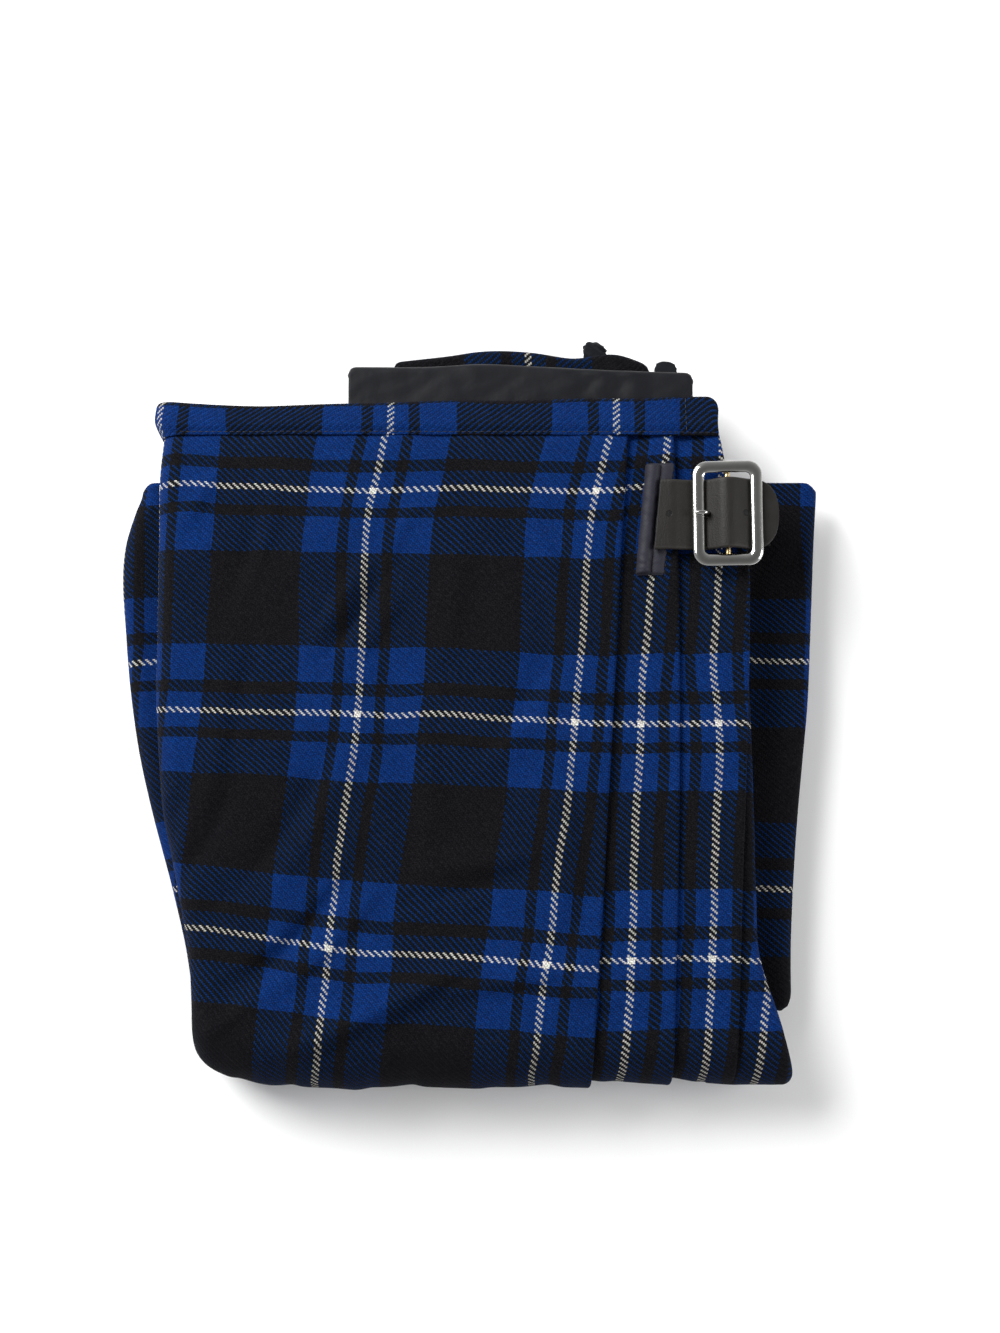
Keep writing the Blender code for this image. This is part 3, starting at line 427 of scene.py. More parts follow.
def creases(x, y):
    """Soft ridges and troughs, each bent along its length and steeper on one side, over faint waves.

    They fade round the strap, which lies flat, and just below the waistband.
    """
    total = np.zeros(np.broadcast(x, y).shape)
    for *place, length, width, height, lean, bend in CREASES:
        along, across = turned(x, y, *place)
        across = across - bend * along * along
        side = width * (1 + lean * np.tanh(across / width))
        total = total + height * np.exp(-np.abs(along / length) ** 2.5 - (across / side) ** 2)
    flat_x, flat_y, reach = STRAP_FLAT
    strap = np.exp(-(((x / MM - flat_x) / reach) ** 4) - ((y / MM - flat_y) / reach) ** 4)
    waist = 1 - ramp(y, CLOTH_END - 16 * MM, CLOTH_END - 4 * MM)
    depth = MM * bpy.context.scene.kilt_cloth.creases
    return (CREASE_GAIN * total * waist + WAVE_GAIN * waves(x, y)) * (1 - strap) * depth


def seam_groove(y):
    """How far the stitches of the waistband's lower edge pull all the layers down, beside the seam."""
    start, full, end, out = (BAND_SEAM + place * MM for place in SEAM_GROOVE)
    return SEAM_PULL * (ramp(y, start, full) - ramp(y, end, out))


def surface_z(x, y, lift):
    """Height of a point over the flat part of the stack: its lift over the swells, sinking at the waist."""
    droop = WAIST_DROP * ramp(y, DROOP_START, WAIST_Y)
    return FOLD_HEIGHT + FOLD_RADIUS + lift + mounds(SWELLS, x, y) - droop


def stack_point(x, fraction, turn, lift):
    """Points along the stack and the y they would have if the fold were rolled out flat.

    `fraction` of the way from the waist to the fold, then `turn` radians round it on a circle of the fold's
    radius and the point's lift.
    """
    along = CLOTH_END + (fold_y(x) - CLOTH_END) * fraction
    droop = WAIST_DROP * ramp(along, DROOP_START, WAIST_Y)
    ease = 1.0 - np.clip(turn, 0.0, 1.0)
    lift = lift + creases(x, along - FOLD_RADIUS * turn) * (0.35 + 0.65 * ease) - seam_groove(along)
    reach = FOLD_RADIUS + lift + mounds(SWELLS, x, along) * ease
    y = along - reach * np.sin(turn)
    z = FOLD_HEIGHT + reach * np.cos(turn) - droop
    return join(x, y, z), along - (FOLD_RADIUS + MIDDLE) * turn + 0 * x


def level(strip, x, y):
    """A strip's height in layers: two layers under the edge before it, rising from there to its own edge."""
    if strip == 0:
        return np.zeros(np.broadcast(x, y).shape)
    before, own = edge(STRIPS[strip - 1][1], y), edge(STRIPS[strip][1], y)
    tucked = level(strip - 1, np.minimum(x, before), y) - 2
    part = np.clip((x - before) / np.maximum(own - before, 1 * MM), 0.0, 1.0)
    return tucked + (STRIPS[strip][2] - level(strip - 1, before, y) + 2) * part


def strip_lift(strip, x, y):
    return MIDDLE + level(strip, x, y) * LAYER


def left_roll(left, outside, steps=16):
    """(x, lift, flat x) of the left fold: an arc of ROLL_TURN that lies `outside` the apron's own."""
    radius = ROLL_RADIUS - CLOTH / 2
    angle = np.linspace(ROLL_TURN, 0, steps, endpoint=False)
    x = left + ROLL_RADIUS - (radius + outside) * np.sin(angle)
    lift = MIDDLE - radius + (radius + outside) * np.cos(angle)
    return x, lift + 0 * x, left + ROLL_RADIUS - radius * angle


def grid_faces(rows, columns, closed=False):
    """Quads between the rows of a grid, as an array of corner numbers, joined round each row if closed."""
    last = columns if closed else columns - 1
    row, column = np.meshgrid(np.arange(rows - 1), np.arange(last), indexing="ij")
    after = (column + 1) % columns
    here, below = row * columns, (row + 1) * columns
    return join(here + column, below + column, below + after, here + after).reshape(-1, 4)


def add_mesh(name, points, faces, material, uv=None, caps=()):
    """A mesh object from arrays of points and quads, with extra faces for its ends and a UV map from `uv`."""
    mesh = bpy.data.meshes.new(name)
    points = np.ascontiguousarray(points, float).reshape(-1, 3)
    corners = np.concatenate([faces.ravel(), *caps]).astype(np.int32)
    sizes = np.array([4] * len(faces) + [len(cap) for cap in caps])
    mesh.vertices.add(len(points))
    mesh.vertices.foreach_set("co", points.ravel())
    mesh.loops.add(len(corners))
    mesh.loops.foreach_set("vertex_index", corners)
    mesh.polygons.add(len(sizes))
    mesh.polygons.foreach_set("loop_start", np.concatenate([[0], np.cumsum(sizes)[:-1]]).astype(np.int32))
    if uv is not None:
        layer = mesh.uv_layers.new(name="cloth")
        layer.uv.foreach_set("vector", np.asarray(uv, float).reshape(-1, 2)[corners].ravel())
    mesh.materials.append(material)
    mesh.update(calc_edges=True)
    mesh.shade_smooth()
    new = bpy.data.objects.new(name, mesh)
    bpy.context.scene.collection.objects.link(new)
    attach(new, "root")
    return new


def add_cloth(name, points, uv, material, node, slot, wall=None, rests_on=("folded_layers",)):
    """A shell of cloth on a grid of middle points, with its wall; its node's solid is hidden."""
    rows, columns, _ = points.shape
    new = add_mesh(name, points, grid_faces(rows, columns), material, uv)
    shell = new.modifiers.new("wall", "SOLIDIFY")
    shell.thickness = wall or bpy.context.scene.kilt_cloth.wall
    shell.offset = 0.0
    shell.use_even_offset = True
    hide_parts(node)
    across, down = step_lengths(points, 1), step_lengths(points, 0)
    width, length = across.sum(axis=1).max(), down.sum(axis=0).max()
    area = (across[:-1] + across[1:]) / 2 * (down[:, :-1] + down[:, 1:]) / 2
    area = min(area.sum(), width * length)
    return new


def add_loft(name, rings, material, node=None, uv=None):
    """A closed skin over rings of points, with a flat face on each end ring."""
    rows, count, _ = rings.shape
    ends = (np.arange(count), np.arange((rows - 1) * count, rows * count)[::-1])
    new = add_mesh(name, rings, grid_faces(rows, count, closed=True), material, uv, ends)
    if node:
        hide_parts(node)
    return new


# --- materials ---


class Nodes:
    """Short names for making and linking shader nodes in one tree."""

    def __init__(self, tree):
        self.tree = tree

    def add(self, kind, inputs=(), **settings):
        node = self.tree.nodes.new(kind)
        for name, value in settings.items():
            setattr(node, name, value)
        for name, value in dict(inputs).items():
            if isinstance(value, bpy.types.NodeSocket):
                self.tree.links.new(value, node.inputs[name])
            else:
                node.inputs[name].default_value = value
        return node

    def link(self, value, node, name):
        self.tree.links.new(value, node.inputs[name])

    def math(self, operation, *values):
        return self.add("ShaderNodeMath", dict(enumerate(values)), operation=operation).outputs[0]

    def plus(self, a, b):
        return self.math("ADD", a, b)

    def minus(self, a, b):
        return self.math("SUBTRACT", a, b)

    def times(self, a, b):
        return self.math("MULTIPLY", a, b)

    def mix(self, factor, a, b, blend="MIX"):
        node = self.add("ShaderNodeMix", {0: factor, 6: a, 7: b}, data_type="RGBA", blend_type=blend)
        return node.outputs[2]

    def noise(self, vector, scale, detail=2.0, roughness=0.5, output="Fac"):
        inputs = {"Vector": vector, "Scale": scale, "Detail": detail, "Roughness": roughness}
        return self.add("ShaderNodeTexNoise", inputs).outputs[output]

    def vector(self, operation, inputs):
        return self.add("ShaderNodeVectorMath", inputs, operation=operation).outputs[0]

    def between(self, value, low, high):
        """value of 0 to 1 carried to low to high."""
        return self.math("MULTIPLY_ADD", value, high - low, low)

    def carry(self, value, start, stop, low, high, **settings):
        """value of start to stop carried to low to high."""
        inputs = {"Value": value, "From Min": start, "From Max": stop, "To Min": low, "To Max": high}
        return self.add("ShaderNodeMapRange", inputs, **settings).outputs[0]

    def choose(self, second, a, b):
        """The value a, or b where `second` is 1."""
        return self.add("ShaderNodeMix", {0: second, 2: a, 3: b}).outputs[0]

    def shaded(self, colour, red, green, blue):
        """A colour times three shades."""
        shades = self.add("ShaderNodeCombineColor", {0: red, 1: green, 2: blue}).outputs[0]
        return self.mix(1.0, colour, shades, "MULTIPLY")

    def parts(self, vector):
        return self.add("ShaderNodeSeparateXYZ", {0: vector}).outputs

    def stretched(self, vector, scale):
        return self.add("ShaderNodeMapping", {"Vector": vector, "Scale": scale}).outputs[0]

    def place(self, coordinates="object"):
        """A point's place on its object, or on the flat cloth."""
        if coordinates == "cloth":
            return self.add("ShaderNodeUVMap", uv_map="cloth").outputs[0]
        return self.add("ShaderNodeTexCoord").outputs["Object"]

    def bump(self, shader, height, strength, distance):
        inputs = {"Height": height, "Strength": strength, "Distance": distance}
        self.link(self.add("ShaderNodeBump", inputs).outputs[0], shader, "Normal")


def new_group(name, inputs, outputs):
    """A node group with float or vector inputs {name: (kind, default)} and outputs {name: kind}."""
    tree = bpy.data.node_groups.new(name, "ShaderNodeTree")
    for label, (kind, default) in inputs.items():
        socket = tree.interface.new_socket(label, in_out="INPUT", socket_type="NodeSocket" + kind)
        if default is not None:
            socket.default_value = default
    for label, kind in outputs.items():
        tree.interface.new_socket(label, in_out="OUTPUT", socket_type="NodeSocket" + kind)
    nodes = Nodes(tree)
    return tree, nodes, nodes.add("NodeGroupInput").outputs, nodes.add("NodeGroupOutput")


def group_once(make):
    """A node group is made on its first use, and found by its name after that."""

    @functools.wraps(make)
    def find(name, *settings):
        return bpy.data.node_groups.get(name) or make(name, *settings)

    return find


def material_once(make):
    """A material is made on its first use, from the nodes and the empty shader that `make` dresses."""

    @functools.wraps(make)
    def find(name, *settings):
        material = bpy.data.materials.get(name)
        if material is None:
            material = bpy.data.materials.new(name)
            material.use_nodes = True
            tree = material.node_tree
            make(Nodes(tree), tree.nodes["Principled BSDF"], *settings)
        return material

    return find


def colour_of_sett(n, yarn_number, threads, cloth):
    """The colour of a yarn by its number: steps of a colour ramp, and white near either end of the sett."""
    share = n.math("FLOORED_MODULO", n.plus(yarn_number, 0.5), threads)
    off_centre = n.math("ABSOLUTE", n.minus(share, threads / 2))
    line = n.math("GREATER_THAN", off_centre, (threads - WHITE_THREADS) / 2)
    steps = n.add("ShaderNodeValToRGB", {"Fac": n.math("DIVIDE", share, threads)})
    colours = steps.color_ramp
    colours.interpolation = "CONSTANT"
    at = 0
    for row, (name, count) in enumerate(SETT):
        step = colours.elements[0] if row == 0 else colours.elements.new(at / SETT_THREADS)
        step.color = (*getattr(cloth, name), 1.0)
        at += count
    colours.elements.remove(colours.elements[-1])
    return n.mix(line, steps.outputs["Color"], (*cloth.white, 1.0))


def wandering(n, start):
    """A place on the cloth moved a little, so that no thread runs dead straight."""
    place = start
    for scale, reach in DRIFTS:
        drift = n.noise(start, scale, 1.0, output="Color")
        drift = n.vector("SUBTRACT", {0: drift, 1: (0.5, 0.5, 0.5)})
        drift = n.vector("SCALE", {0: drift, "Scale": reach})
        place = n.vector("ADD", {0: place, 1: drift})
    return place


def twill_rib(n, warp, weft, sense):
    """Height of the twill's diagonal ribs, 0 to 1, which also paints shade into the colour between the ribs.
    """
    slope = n.times(n.plus(warp, n.times(weft, sense)), math.pi / 2)
    slope = n.minus(slope, n.math("MULTIPLY_ADD", sense, math.pi / 4, -math.pi / 4))
    return n.math("MULTIPLY_ADD", n.math("COSINE", slope), 0.5, 0.5)


def near_ends(n, warp, weft, sense, order, warp_up):
    """How near a point of the thread on top is to its sides, and to the ends of its float: 0 to 1 each."""
    warp_part = n.math("FRACT", warp)
    weft_part = n.math("FRACT", n.times(weft, sense))
    on_warp = n.times(n.plus(order, weft_part), 0.5)
    on_weft = n.times(n.plus(n.minus(order, 2.0), warp_part), 0.5)
    along = n.choose(warp_up, on_weft, on_warp)
    across = n.choose(warp_up, weft_part, warp_part)
    return [
        n.math("POWER", n.math("ABSOLUTE", n.math("MULTIPLY_ADD", part, 2.0, -1.0)), power)
        for part, power in ((across, 2.0), (along, 2.4))
    ]


def thread_shades(n, place, thread_numbers, height, rib):
    """The fibres, and one shade for each colour: painted shade where a thread's height falls off and between
    the twill's ribs, times random tone by thread, fibre and broad patch.
    """
    thread = n.add("ShaderNodeCombineXYZ", dict(enumerate(thread_numbers))).outputs[0]
    thread = n.add("ShaderNodeTexWhiteNoise", {"Vector": thread}).outputs["Value"]
    fibres = n.noise(place, 1500.0, 4.0, 0.7)
    broad = n.noise(place, 55.0, 3.0, 0.6)
    # painted shade: darker where a thread's height falls off, at its sides and float ends, as in the gaps
    # between threads
    shade = n.between(height, 0.28, 1.42)
    # the rib's share is painted shade between the twill's ribs; thread, fibres and broad are random tone
    shares = ((thread, 0.78, 1.22), (rib, 0.84, 1.18), (fibres, 0.2, 1.8), (broad, 0.82, 1.18))
    for value, low, high in shares:
        shade = n.times(shade, n.between(value, low, high))
    tint = n.noise(place, 700.0, 2.0, 0.5)
    green, red = n.times(shade, n.between(tint, 0.86, 1.14)), n.times(shade, n.between(tint, 1.14, 0.86))
    return fibres, (red, green, shade)


@group_once
def tartan_group(name, cloth):
    """Two-and-two twill: a warp thread is on top where (warp number + sense * weft number) mod 4 is under 2.

    Each thread is one step of the sett. Its height falls off toward its sides and toward both ends of its
    float, where the darker yarn beside it shows too, and so do its loose hairs. The height and the twill's
    ribs also darken the colour, as painted shade between threads and between ribs.
    """
    inputs = {"Place": ("Vector", None), "Sense": ("Float", 1.0), "Nap": ("Float", 0.3)}
    outputs = {"Color": "Color", "Roughness": "Float", "Height": "Float"}
    tree, n, given, result = new_group(name, inputs, outputs)
    sense = given["Sense"]
    place = wandering(n, given["Place"])
    parts = n.parts(place)
    warp = n.times(parts["X"], SETT_THREADS / cloth.sett)
    weft = n.times(parts["Y"], WEFT_THREADS / cloth.sett)
    warp_number, weft_number = n.math("FLOOR", warp), n.math("FLOOR", weft)
    order = n.math("FLOORED_MODULO", n.plus(warp_number, n.times(weft_number, sense)), 4.0)
    warp_up = n.math("LESS_THAN", order, 1.5)
    yarns = ((warp_number, SETT_THREADS), (weft_number, WEFT_THREADS))
    colours = [colour_of_sett(n, yarn_number, threads, cloth) for yarn_number, threads in yarns]
    rib = twill_rib(n, warp, weft, sense)
    side, end = near_ends(n, warp, weft, sense, order, warp_up)
    # the thread's height, for the bump and as painted shade in the colour
    height = n.times(n.between(side, 1.0, 0.5), n.between(end, 1.0, 0.2))
    hairy = n.carry(n.noise(place, 1300.0, 3.0, 0.7), 0.42, 0.75, 0.0, 0.8)
    tucked = n.carry(end, 0.12, 0.8, 0.42, 1.0)
    yarn = n.mix(warp_up, colours[1], colours[0])
    yarn = n.mix(n.math("MAXIMUM", hairy, tucked), yarn, n.mix(1.0, colours[0], colours[1], "DARKEN"))
    fibres, shades = thread_shades(n, place, (warp_number, weft_number), height, rib)
    shaded = n.shaded(yarn, *shades)
    fluff = n.minus(n.noise(place, 1000.0, 4.0, 0.75), 0.48)
    fluff = n.math("MAXIMUM", n.times(fluff, given["Nap"]), 0.0)
    n.link(n.mix(fluff, shaded, FLUFF), result, "Color")
    n.link(n.between(fibres, 0.78, 0.98), result, "Roughness")
    n.link(n.plus(height, n.plus(n.times(rib, 0.6), n.times(fibres, 0.5))), result, "Height")
    return tree


@group_once
def plain_group(name):
    """Plain weave: fine ribs both ways, a slight slub and soft puckers. Its Shade is painted shade between
    the threads, times the slub's random tone.
    """
    inputs = {"Place": ("Vector", None), "Threads": ("Float", 2400.0), "Pucker": ("Float", 0.5)}
    tree, n, given, result = new_group(name, inputs, {"Shade": "Float", "Height": "Float"})
    parts = n.parts(given["Place"])
    ribs = [n.math("SINE", n.times(n.times(parts[k], given["Threads"]), 2.0)) for k in (0, 1)]
    weave = n.between(n.times(*ribs), 0.5, 0.75)
    slub = n.noise(given["Place"], 420.0, 3.0, 0.6)
    pucker = n.times(n.noise(given["Place"], 130.0, 2.0, 0.5), given["Pucker"])
    # painted shade between the threads of the weave, times the slub's random tone
    n.link(n.between(n.times(weave, slub), 0.72, 1.7), result, "Shade")
    height = n.plus(n.times(weave, 0.25), n.times(pucker, 3.0))
    n.link(n.plus(height, n.times(slub, 0.3)), result, "Height")
    return tree


def set_inputs(node, **values):
    for name, value in values.items():
        node.inputs[name.replace("_", " ")].default_value = value


@material_once
def tartan_material(n, shader, sense):
    """The kilt's cloth: twill threads, raised nap and a faint sheen. `sense` turns the twill's diagonal."""
    cloth = bpy.context.scene.kilt_cloth
    place = n.place("cloth")
    weave = n.add("ShaderNodeGroup", node_tree=tartan_group("tartan_weave", cloth))
    n.link(place, weave, "Place")
    set_inputs(weave, Sense=sense, Nap=cloth.nap)
    n.link(weave.outputs["Color"], shader, "Base Color")
    n.link(weave.outputs["Roughness"], shader, "Roughness")
    set_inputs(shader, Sheen_Weight=0.02, Sheen_Roughness=0.5, Sheen_Tint=(0.55, 0.65, 1.0, 1.0))
    set_inputs(shader, Specular_IOR_Level=0.05)
    n.bump(shader, weave.outputs["Height"], 0.55, 0.0004)


@material_once
def plain_cloth_material(n, shader, colour, threads, pucker, coordinates):
    """A plain woven trim: matt, with a little gloss on its threads."""
    weave = n.add("ShaderNodeGroup", node_tree=plain_group("plain_weave"))
    n.link(n.place(coordinates), weave, "Place")
    set_inputs(weave, Threads=threads, Pucker=pucker)
    shade = weave.outputs["Shade"]
    # the base colour carries the weave's painted shade between threads
    n.link(n.shaded((*colour, 1.0), shade, shade, shade), shader, "Base Color")
    set_inputs(shader, Roughness=0.6, Sheen_Weight=0.04, Sheen_Roughness=0.4, Specular_IOR_Level=0.2)
    n.bump(shader, weave.outputs["Height"], 0.6, 0.0004)


@material_once
def leather_material(n, shader):
    """Smooth dark leather: pebbled grain, bend lines, rubbed lighter edges, and punched holes in a row,
    painted near-black for the shade inside them and the dark cloth below.
    """
    place = n.place()
    grain = n.add("ShaderNodeTexVoronoi", {"Vector": place, "Scale": 1500.0}).outputs["Distance"]
    cloudy = n.noise(place, 160.0, 4.0, 0.6)
    lines = n.noise(n.stretched(place, (420.0, 60.0, 60.0)), 1.0, 3.0, 0.6)
    parts = n.parts(place)
    along = n.math("DIVIDE", n.minus(parts["X"], PRONG_HOLE_X), HOLE_STEP)
    along = n.times(n.minus(along, n.math("ROUND", along)), HOLE_STEP)
    across = n.minus(parts["Y"], STRAP_Y)
    away = n.math("SQRT", n.plus(n.math("POWER", along, 2.0), n.math("POWER", across, 2.0)))
    hole = n.carry(away, *HOLE_RADII, 1.0, 0.0, interpolation_type="SMOOTHSTEP")
    worn = n.carry(n.math("ABSOLUTE", n.math("DIVIDE", across, STRAP_WIDE / 2)), 0.90, 1.0, 0.0, 1.0)
    leather = (*bpy.context.scene.kilt_trim.leather, 1.0)
    base = n.mix(n.between(cloudy, 0.0, 0.6), leather, PALE_LEATHER)
    base = n.mix(n.times(worn, 0.5), base, RUBBED_LEATHER)
    # the holes are painted near-black: shade inside each hole and the dark cloth under it
    n.link(n.mix(hole, base, HOLE_SHADE), shader, "Base Color")
    n.link(n.between(cloudy, 0.42, 0.70), shader, "Roughness")
    set_inputs(shader, Specular_IOR_Level=0.26)
    height = n.plus(n.times(grain, 0.35), n.times(lines, 0.9))
    n.bump(shader, n.minus(height, n.times(hole, 4.0)), 0.5, 0.0004)


@material_once
def metal_material(n, shader, colour, roughness):
    """Plated metal with fine rubbing: streaked roughness and hairline scratches."""
    place = n.place()
    rubbed = n.noise(n.stretched(place, (260.0, 260.0, 900.0)), 1.0, 4.0, 0.65)
    dull = n.noise(place, 220.0, 3.0, 0.6)
    dark = tuple(part * 0.72 for part in colour)
    n.link(n.mix(n.between(dull, 0.0, 0.7), (*colour, 1.0), (*dark, 1.0)), shader, "Base Color")
    n.link(n.between(rubbed, roughness * 0.6, roughness * 1.6), shader, "Roughness")
    set_inputs(shader, Metallic=1.0)
    n.bump(shader, rubbed, 0.12, 0.0002)


@material_once
def thread_material(n, shader):
    """Twisted sewing thread, slightly glossy."""
    twist = n.noise(n.place(), 2600.0, 2.0, 0.5)
    thread = bpy.context.scene.kilt_trim.thread
    bright = tuple(part * 1.6 for part in thread)
    n.link(n.mix(twist, (*thread, 1.0), (*bright, 1.0)), shader, "Base Color")
    set_inputs(shader, Roughness=0.6)
    n.bump(shader, twist, 0.4, 0.0002)


@material_once
def table_material(n, shader, colour):
    """A pale matt table, faintly uneven."""
    tone = n.between(n.noise(n.place(), 6.0, 2.0), 0.98, 1.0)
    n.link(n.shaded((*colour, 1.0), tone, tone, tone), shader, "Base Color")
    set_inputs(shader, Roughness=0.8, Specular_IOR_Level=0.2)


# --- pieces ---


def weft_place(name, x, y, sett):
    """Distance up the flat cloth: 0 at the first white weft line and one sett less at each line below it."""
    lines = np.array(WEFT_LINES[name]) * MM
    first, second, third = (np.interp(x, lines[:, 0], lines[:, k]) for k in (1, 2, 3))
    upper = -sett * (first - y) / (first - second)
    lower = -sett - sett * (second - y) / (second - third)
    place = np.where(y > first, y - first, np.where(y > second, upper, lower))
    return np.where(y > third, place, y - third - 2 * sett)


def warp_place(name, x, y, sett):
    """Distance across the flat cloth from a white warp line that runs down the strip."""
    if name == "over_apron":
        left, right = hermite(APRON_LINE_LEFT, y), hermite(APRON_LINE_RIGHT, y)
        return (x - left) / (right - left) * sett
    return x - hermite(PLEAT_LINES[name], y)


def strip_grid(strip, flat_columns, flat_rows=190, turn_rows=30):
    """(points, uv) of one strip of the top: its cross-section at each station from the waist to the floor.

    The section is a left roll on the apron, the flat run, and the hairpin fold with its return at the right.
    The last pleat spreads and sags a little at the bottom fold, and rolls down in place of its hairpin.
    """
    name, own_edge, _ = STRIPS[strip]
    last = strip == len(STRIPS) - 1
    sett = bpy.context.scene.kilt_cloth.sett
    fraction = np.concatenate([np.linspace(0, 1, flat_rows), np.ones(turn_rows)])[:, None]
    turn = np.concatenate([np.zeros(flat_rows), FOLD_TURN * np.arange(1, turn_rows + 1) / turn_rows])[:, None]
    y = CLOTH_END + (FOLD_Y - CLOTH_END) * fraction - FOLD_RADIUS * np.sin(turn)
    right = edge(own_edge, y) + last * LAST_SPREAD * ramp(-y, LAST_SPREAD_START, LAST_SPREAD_END)
    radius = PLEAT_FOLD - CLOTH / 2 if last else LAYER / 2
    stop = right - CLOTH / 2 - radius
    columns = []
    if strip == 0:
        left = edge("left", y + (fold_y(-CORNER_END) - FOLD_Y) * fraction)
        columns.append(left_roll(left, 0.0))
        start = left + ROLL_RADIUS
    else:
        start = edge(STRIPS[strip - 1][1], y) - TUCK
    flat_x = start + (stop - start) * np.linspace(0, 1, flat_columns)
    columns.append((flat_x, strip_lift(strip, flat_x, y), flat_x))
    angle = np.linspace(0, ROLL_TURN if last else math.pi, 10)[1:]
    turn_lift = strip_lift(strip, stop, y) - radius * (1 - np.cos(angle))
    columns.append((stop + radius * np.sin(angle), turn_lift, stop + radius * angle))
    if not last:
        back = RETURN * np.linspace(0, 1, 5)[1:]
        back_lift = strip_lift(strip, stop - back, y) - LAYER
        columns.append((stop - back, back_lift, stop + radius * math.pi + back))
    x, lift, flat = (np.hstack([column[k] + 0 * y for column in columns]) for k in range(3))
    points, rolled = stack_point(x, fraction, turn, lift)
    points[..., 1] -= last * LAST_SAG * np.sin(turn)
    return points, join(warp_place(name, flat, rolled, sett), weft_place(name, flat, rolled, sett))


def steps_down(x, y):
    """How many of the first two steps between pleats lie left of a point, in parts."""
    first, second, third = (edge(name, y) for name in EDGE_NAMES[1:4])
    return np.clip((x - first) / (second - first), 0, 1) + np.clip((x - second) / (third - second), 0, 1)


def band_lift(x):
    """The waistband lies one layer over the apron and comes down over the pleats beside it."""
    return MIDDLE + (1 - BAND_STEP * steps_down(x, BAND_SEAM)) * LAYER


def band_sway(x, y):
    """How far the waistband follows the creases below it and its own seam."""
    return 0.4 * creases(x, y - 22 * MM) - 1.25 * seam_groove(y)


def front_band_grid(roll_steps=16):
    """(points, uv) of the front waistband: up from its seam, over the waist edge and down inside.

    Each row is the band's section at one drop below its outer face. The left fold is an arc, which slants out
    from the seam, and the right end is a quarter circle.
    """
    corner = np.linspace(0, math.pi / 2, 8)[1:]
    corner_start = BAND_RIGHT - BAND_CORNER
    flat_x = np.linspace(BAND_LEFT, corner_start, 170)
    flat_x = np.concatenate([flat_x, corner_start + BAND_CORNER * np.sin(corner)])
    column = np.arange(roll_steps + len(flat_x))
    wander = 0.5 * MM * np.sin(column / 9.0) * np.sin(column / 23.0)
    roll_x, _, _ = left_roll(BAND_FOLD - BAND_SLANT, LAYER, roll_steps)
    fold = BAND_TOP - CLOTH / 2 - LAYER + hermite(BAND_DIP, np.concatenate([roll_x, flat_x])) + wander
    fold[-len(corner) :] -= BAND_CORNER * (1 - np.cos(corner))
    outside, inside = np.linspace(0, 1, 26), np.linspace(0, 1, 5)
    rows = [(BAND_SEAM + (fold - BAND_SEAM) * t, -BAND_PUFF * math.sin(math.pi * t) ** 0.7) for t in outside]
    angles = np.linspace(0, math.pi, 12)[1:-1]
    rows += [(fold + LAYER * math.sin(angle), LAYER * (1 - math.cos(angle))) for angle in angles]
    rows += [(fold + (BAND_FACING - fold) * t, 2 * LAYER) for t in inside]
    points, uv = [], []
    travelled = 0.0
    for y, drop in reversed(rows):
        slant = ramp(np.min(y), BAND_SEAM - 3 * MM, BAND_SEAM + 9 * MM)
        roll_x, roll_lift, roll_flat = left_roll(BAND_FOLD - BAND_SLANT * slant, LAYER - drop, roll_steps)
        x = np.concatenate([roll_x, flat_x])
        lift = np.concatenate([roll_lift, band_lift(flat_x) - drop])
        points.append(join(x, y, surface_z(x, y, lift + band_sway(x, y))))
        if len(points) > 1:
            travelled += np.median(np.linalg.norm(points[-1] - points[-2], axis=-1))
        uv.append(join(np.concatenate([roll_flat, flat_x]) - BAND_LINE, travelled))
    uv = np.array(uv)
    seam_place = BAND_SEAM_THREADS / SETT_THREADS * bpy.context.scene.kilt_cloth.sett + 1.0 * MM
    uv[..., 1] = uv[-1:, :, 1] - uv[..., 1] + seam_place
    return np.array(points), uv


def tier_grid(x_range, top_rows, start, back, z_of, columns, crinkle):
    """(points, uv) of a folded strip behind the waist: upper side, half-round fold and short return."""
    x = np.linspace(*x_range, columns)
    near_end = np.clip(1 - np.minimum(x - x[0], x[-1] - x) / TIER_CORNER, 0, 1)
    fold = hermite(top_rows, x) - CLOTH / 2 - TIER_FOLD - TIER_CORNER * (1 - np.sqrt(1 - near_end**2))
    rows = []
    for t in np.linspace(0, 1, 26):
        y = start + (fold - start) * t
        rows.append((y, z_of(x, y) + crinkle(x, y) * ramp(t, 0, 0.5)))
    top_z = z_of(x, fold)
    for angle in np.linspace(0, math.pi, 14)[1:-1]:
        soft = crinkle(x, fold) * max(0.0, math.cos(angle))
        rows.append((fold + TIER_FOLD * math.sin(angle), top_z + soft - TIER_FOLD * (1 - math.cos(angle))))
    rows += [(fold + (back - fold) * t, top_z - 2 * TIER_FOLD) for t in np.linspace(0, 1, 4)]
    points = np.array([join(x, y, z) for y, z in rows])[::-1]
    travelled = np.vstack([np.zeros(columns), np.cumsum(step_lengths(points), axis=0)])
    return points, join(x, travelled[-1] - travelled)


def core_lift(x, y):
    """The hidden layers' top, low enough at the right and at the waist for the cloth folded over them."""
    first, second, third = (edge(name, y) for name in EDGE_NAMES[1:4])
    pleats = 0.1 + 2.3 * ramp(x, first - 48 * MM, first - 24 * MM)
    pleats = pleats + 1.3 * ramp(x, first - 14 * MM, second - 24 * MM)
    pleats = pleats + 0.5 * ramp(x, second - 24 * MM, third - 24 * MM)
    waist = ramp(y, CLOTH_END - 1 * MM, BAND_FACING - 1 * MM)
    return -LAYER * (pleats + (2.4 + BAND_STEP * steps_down(x, y) - pleats) * waist) - seam_groove(y)


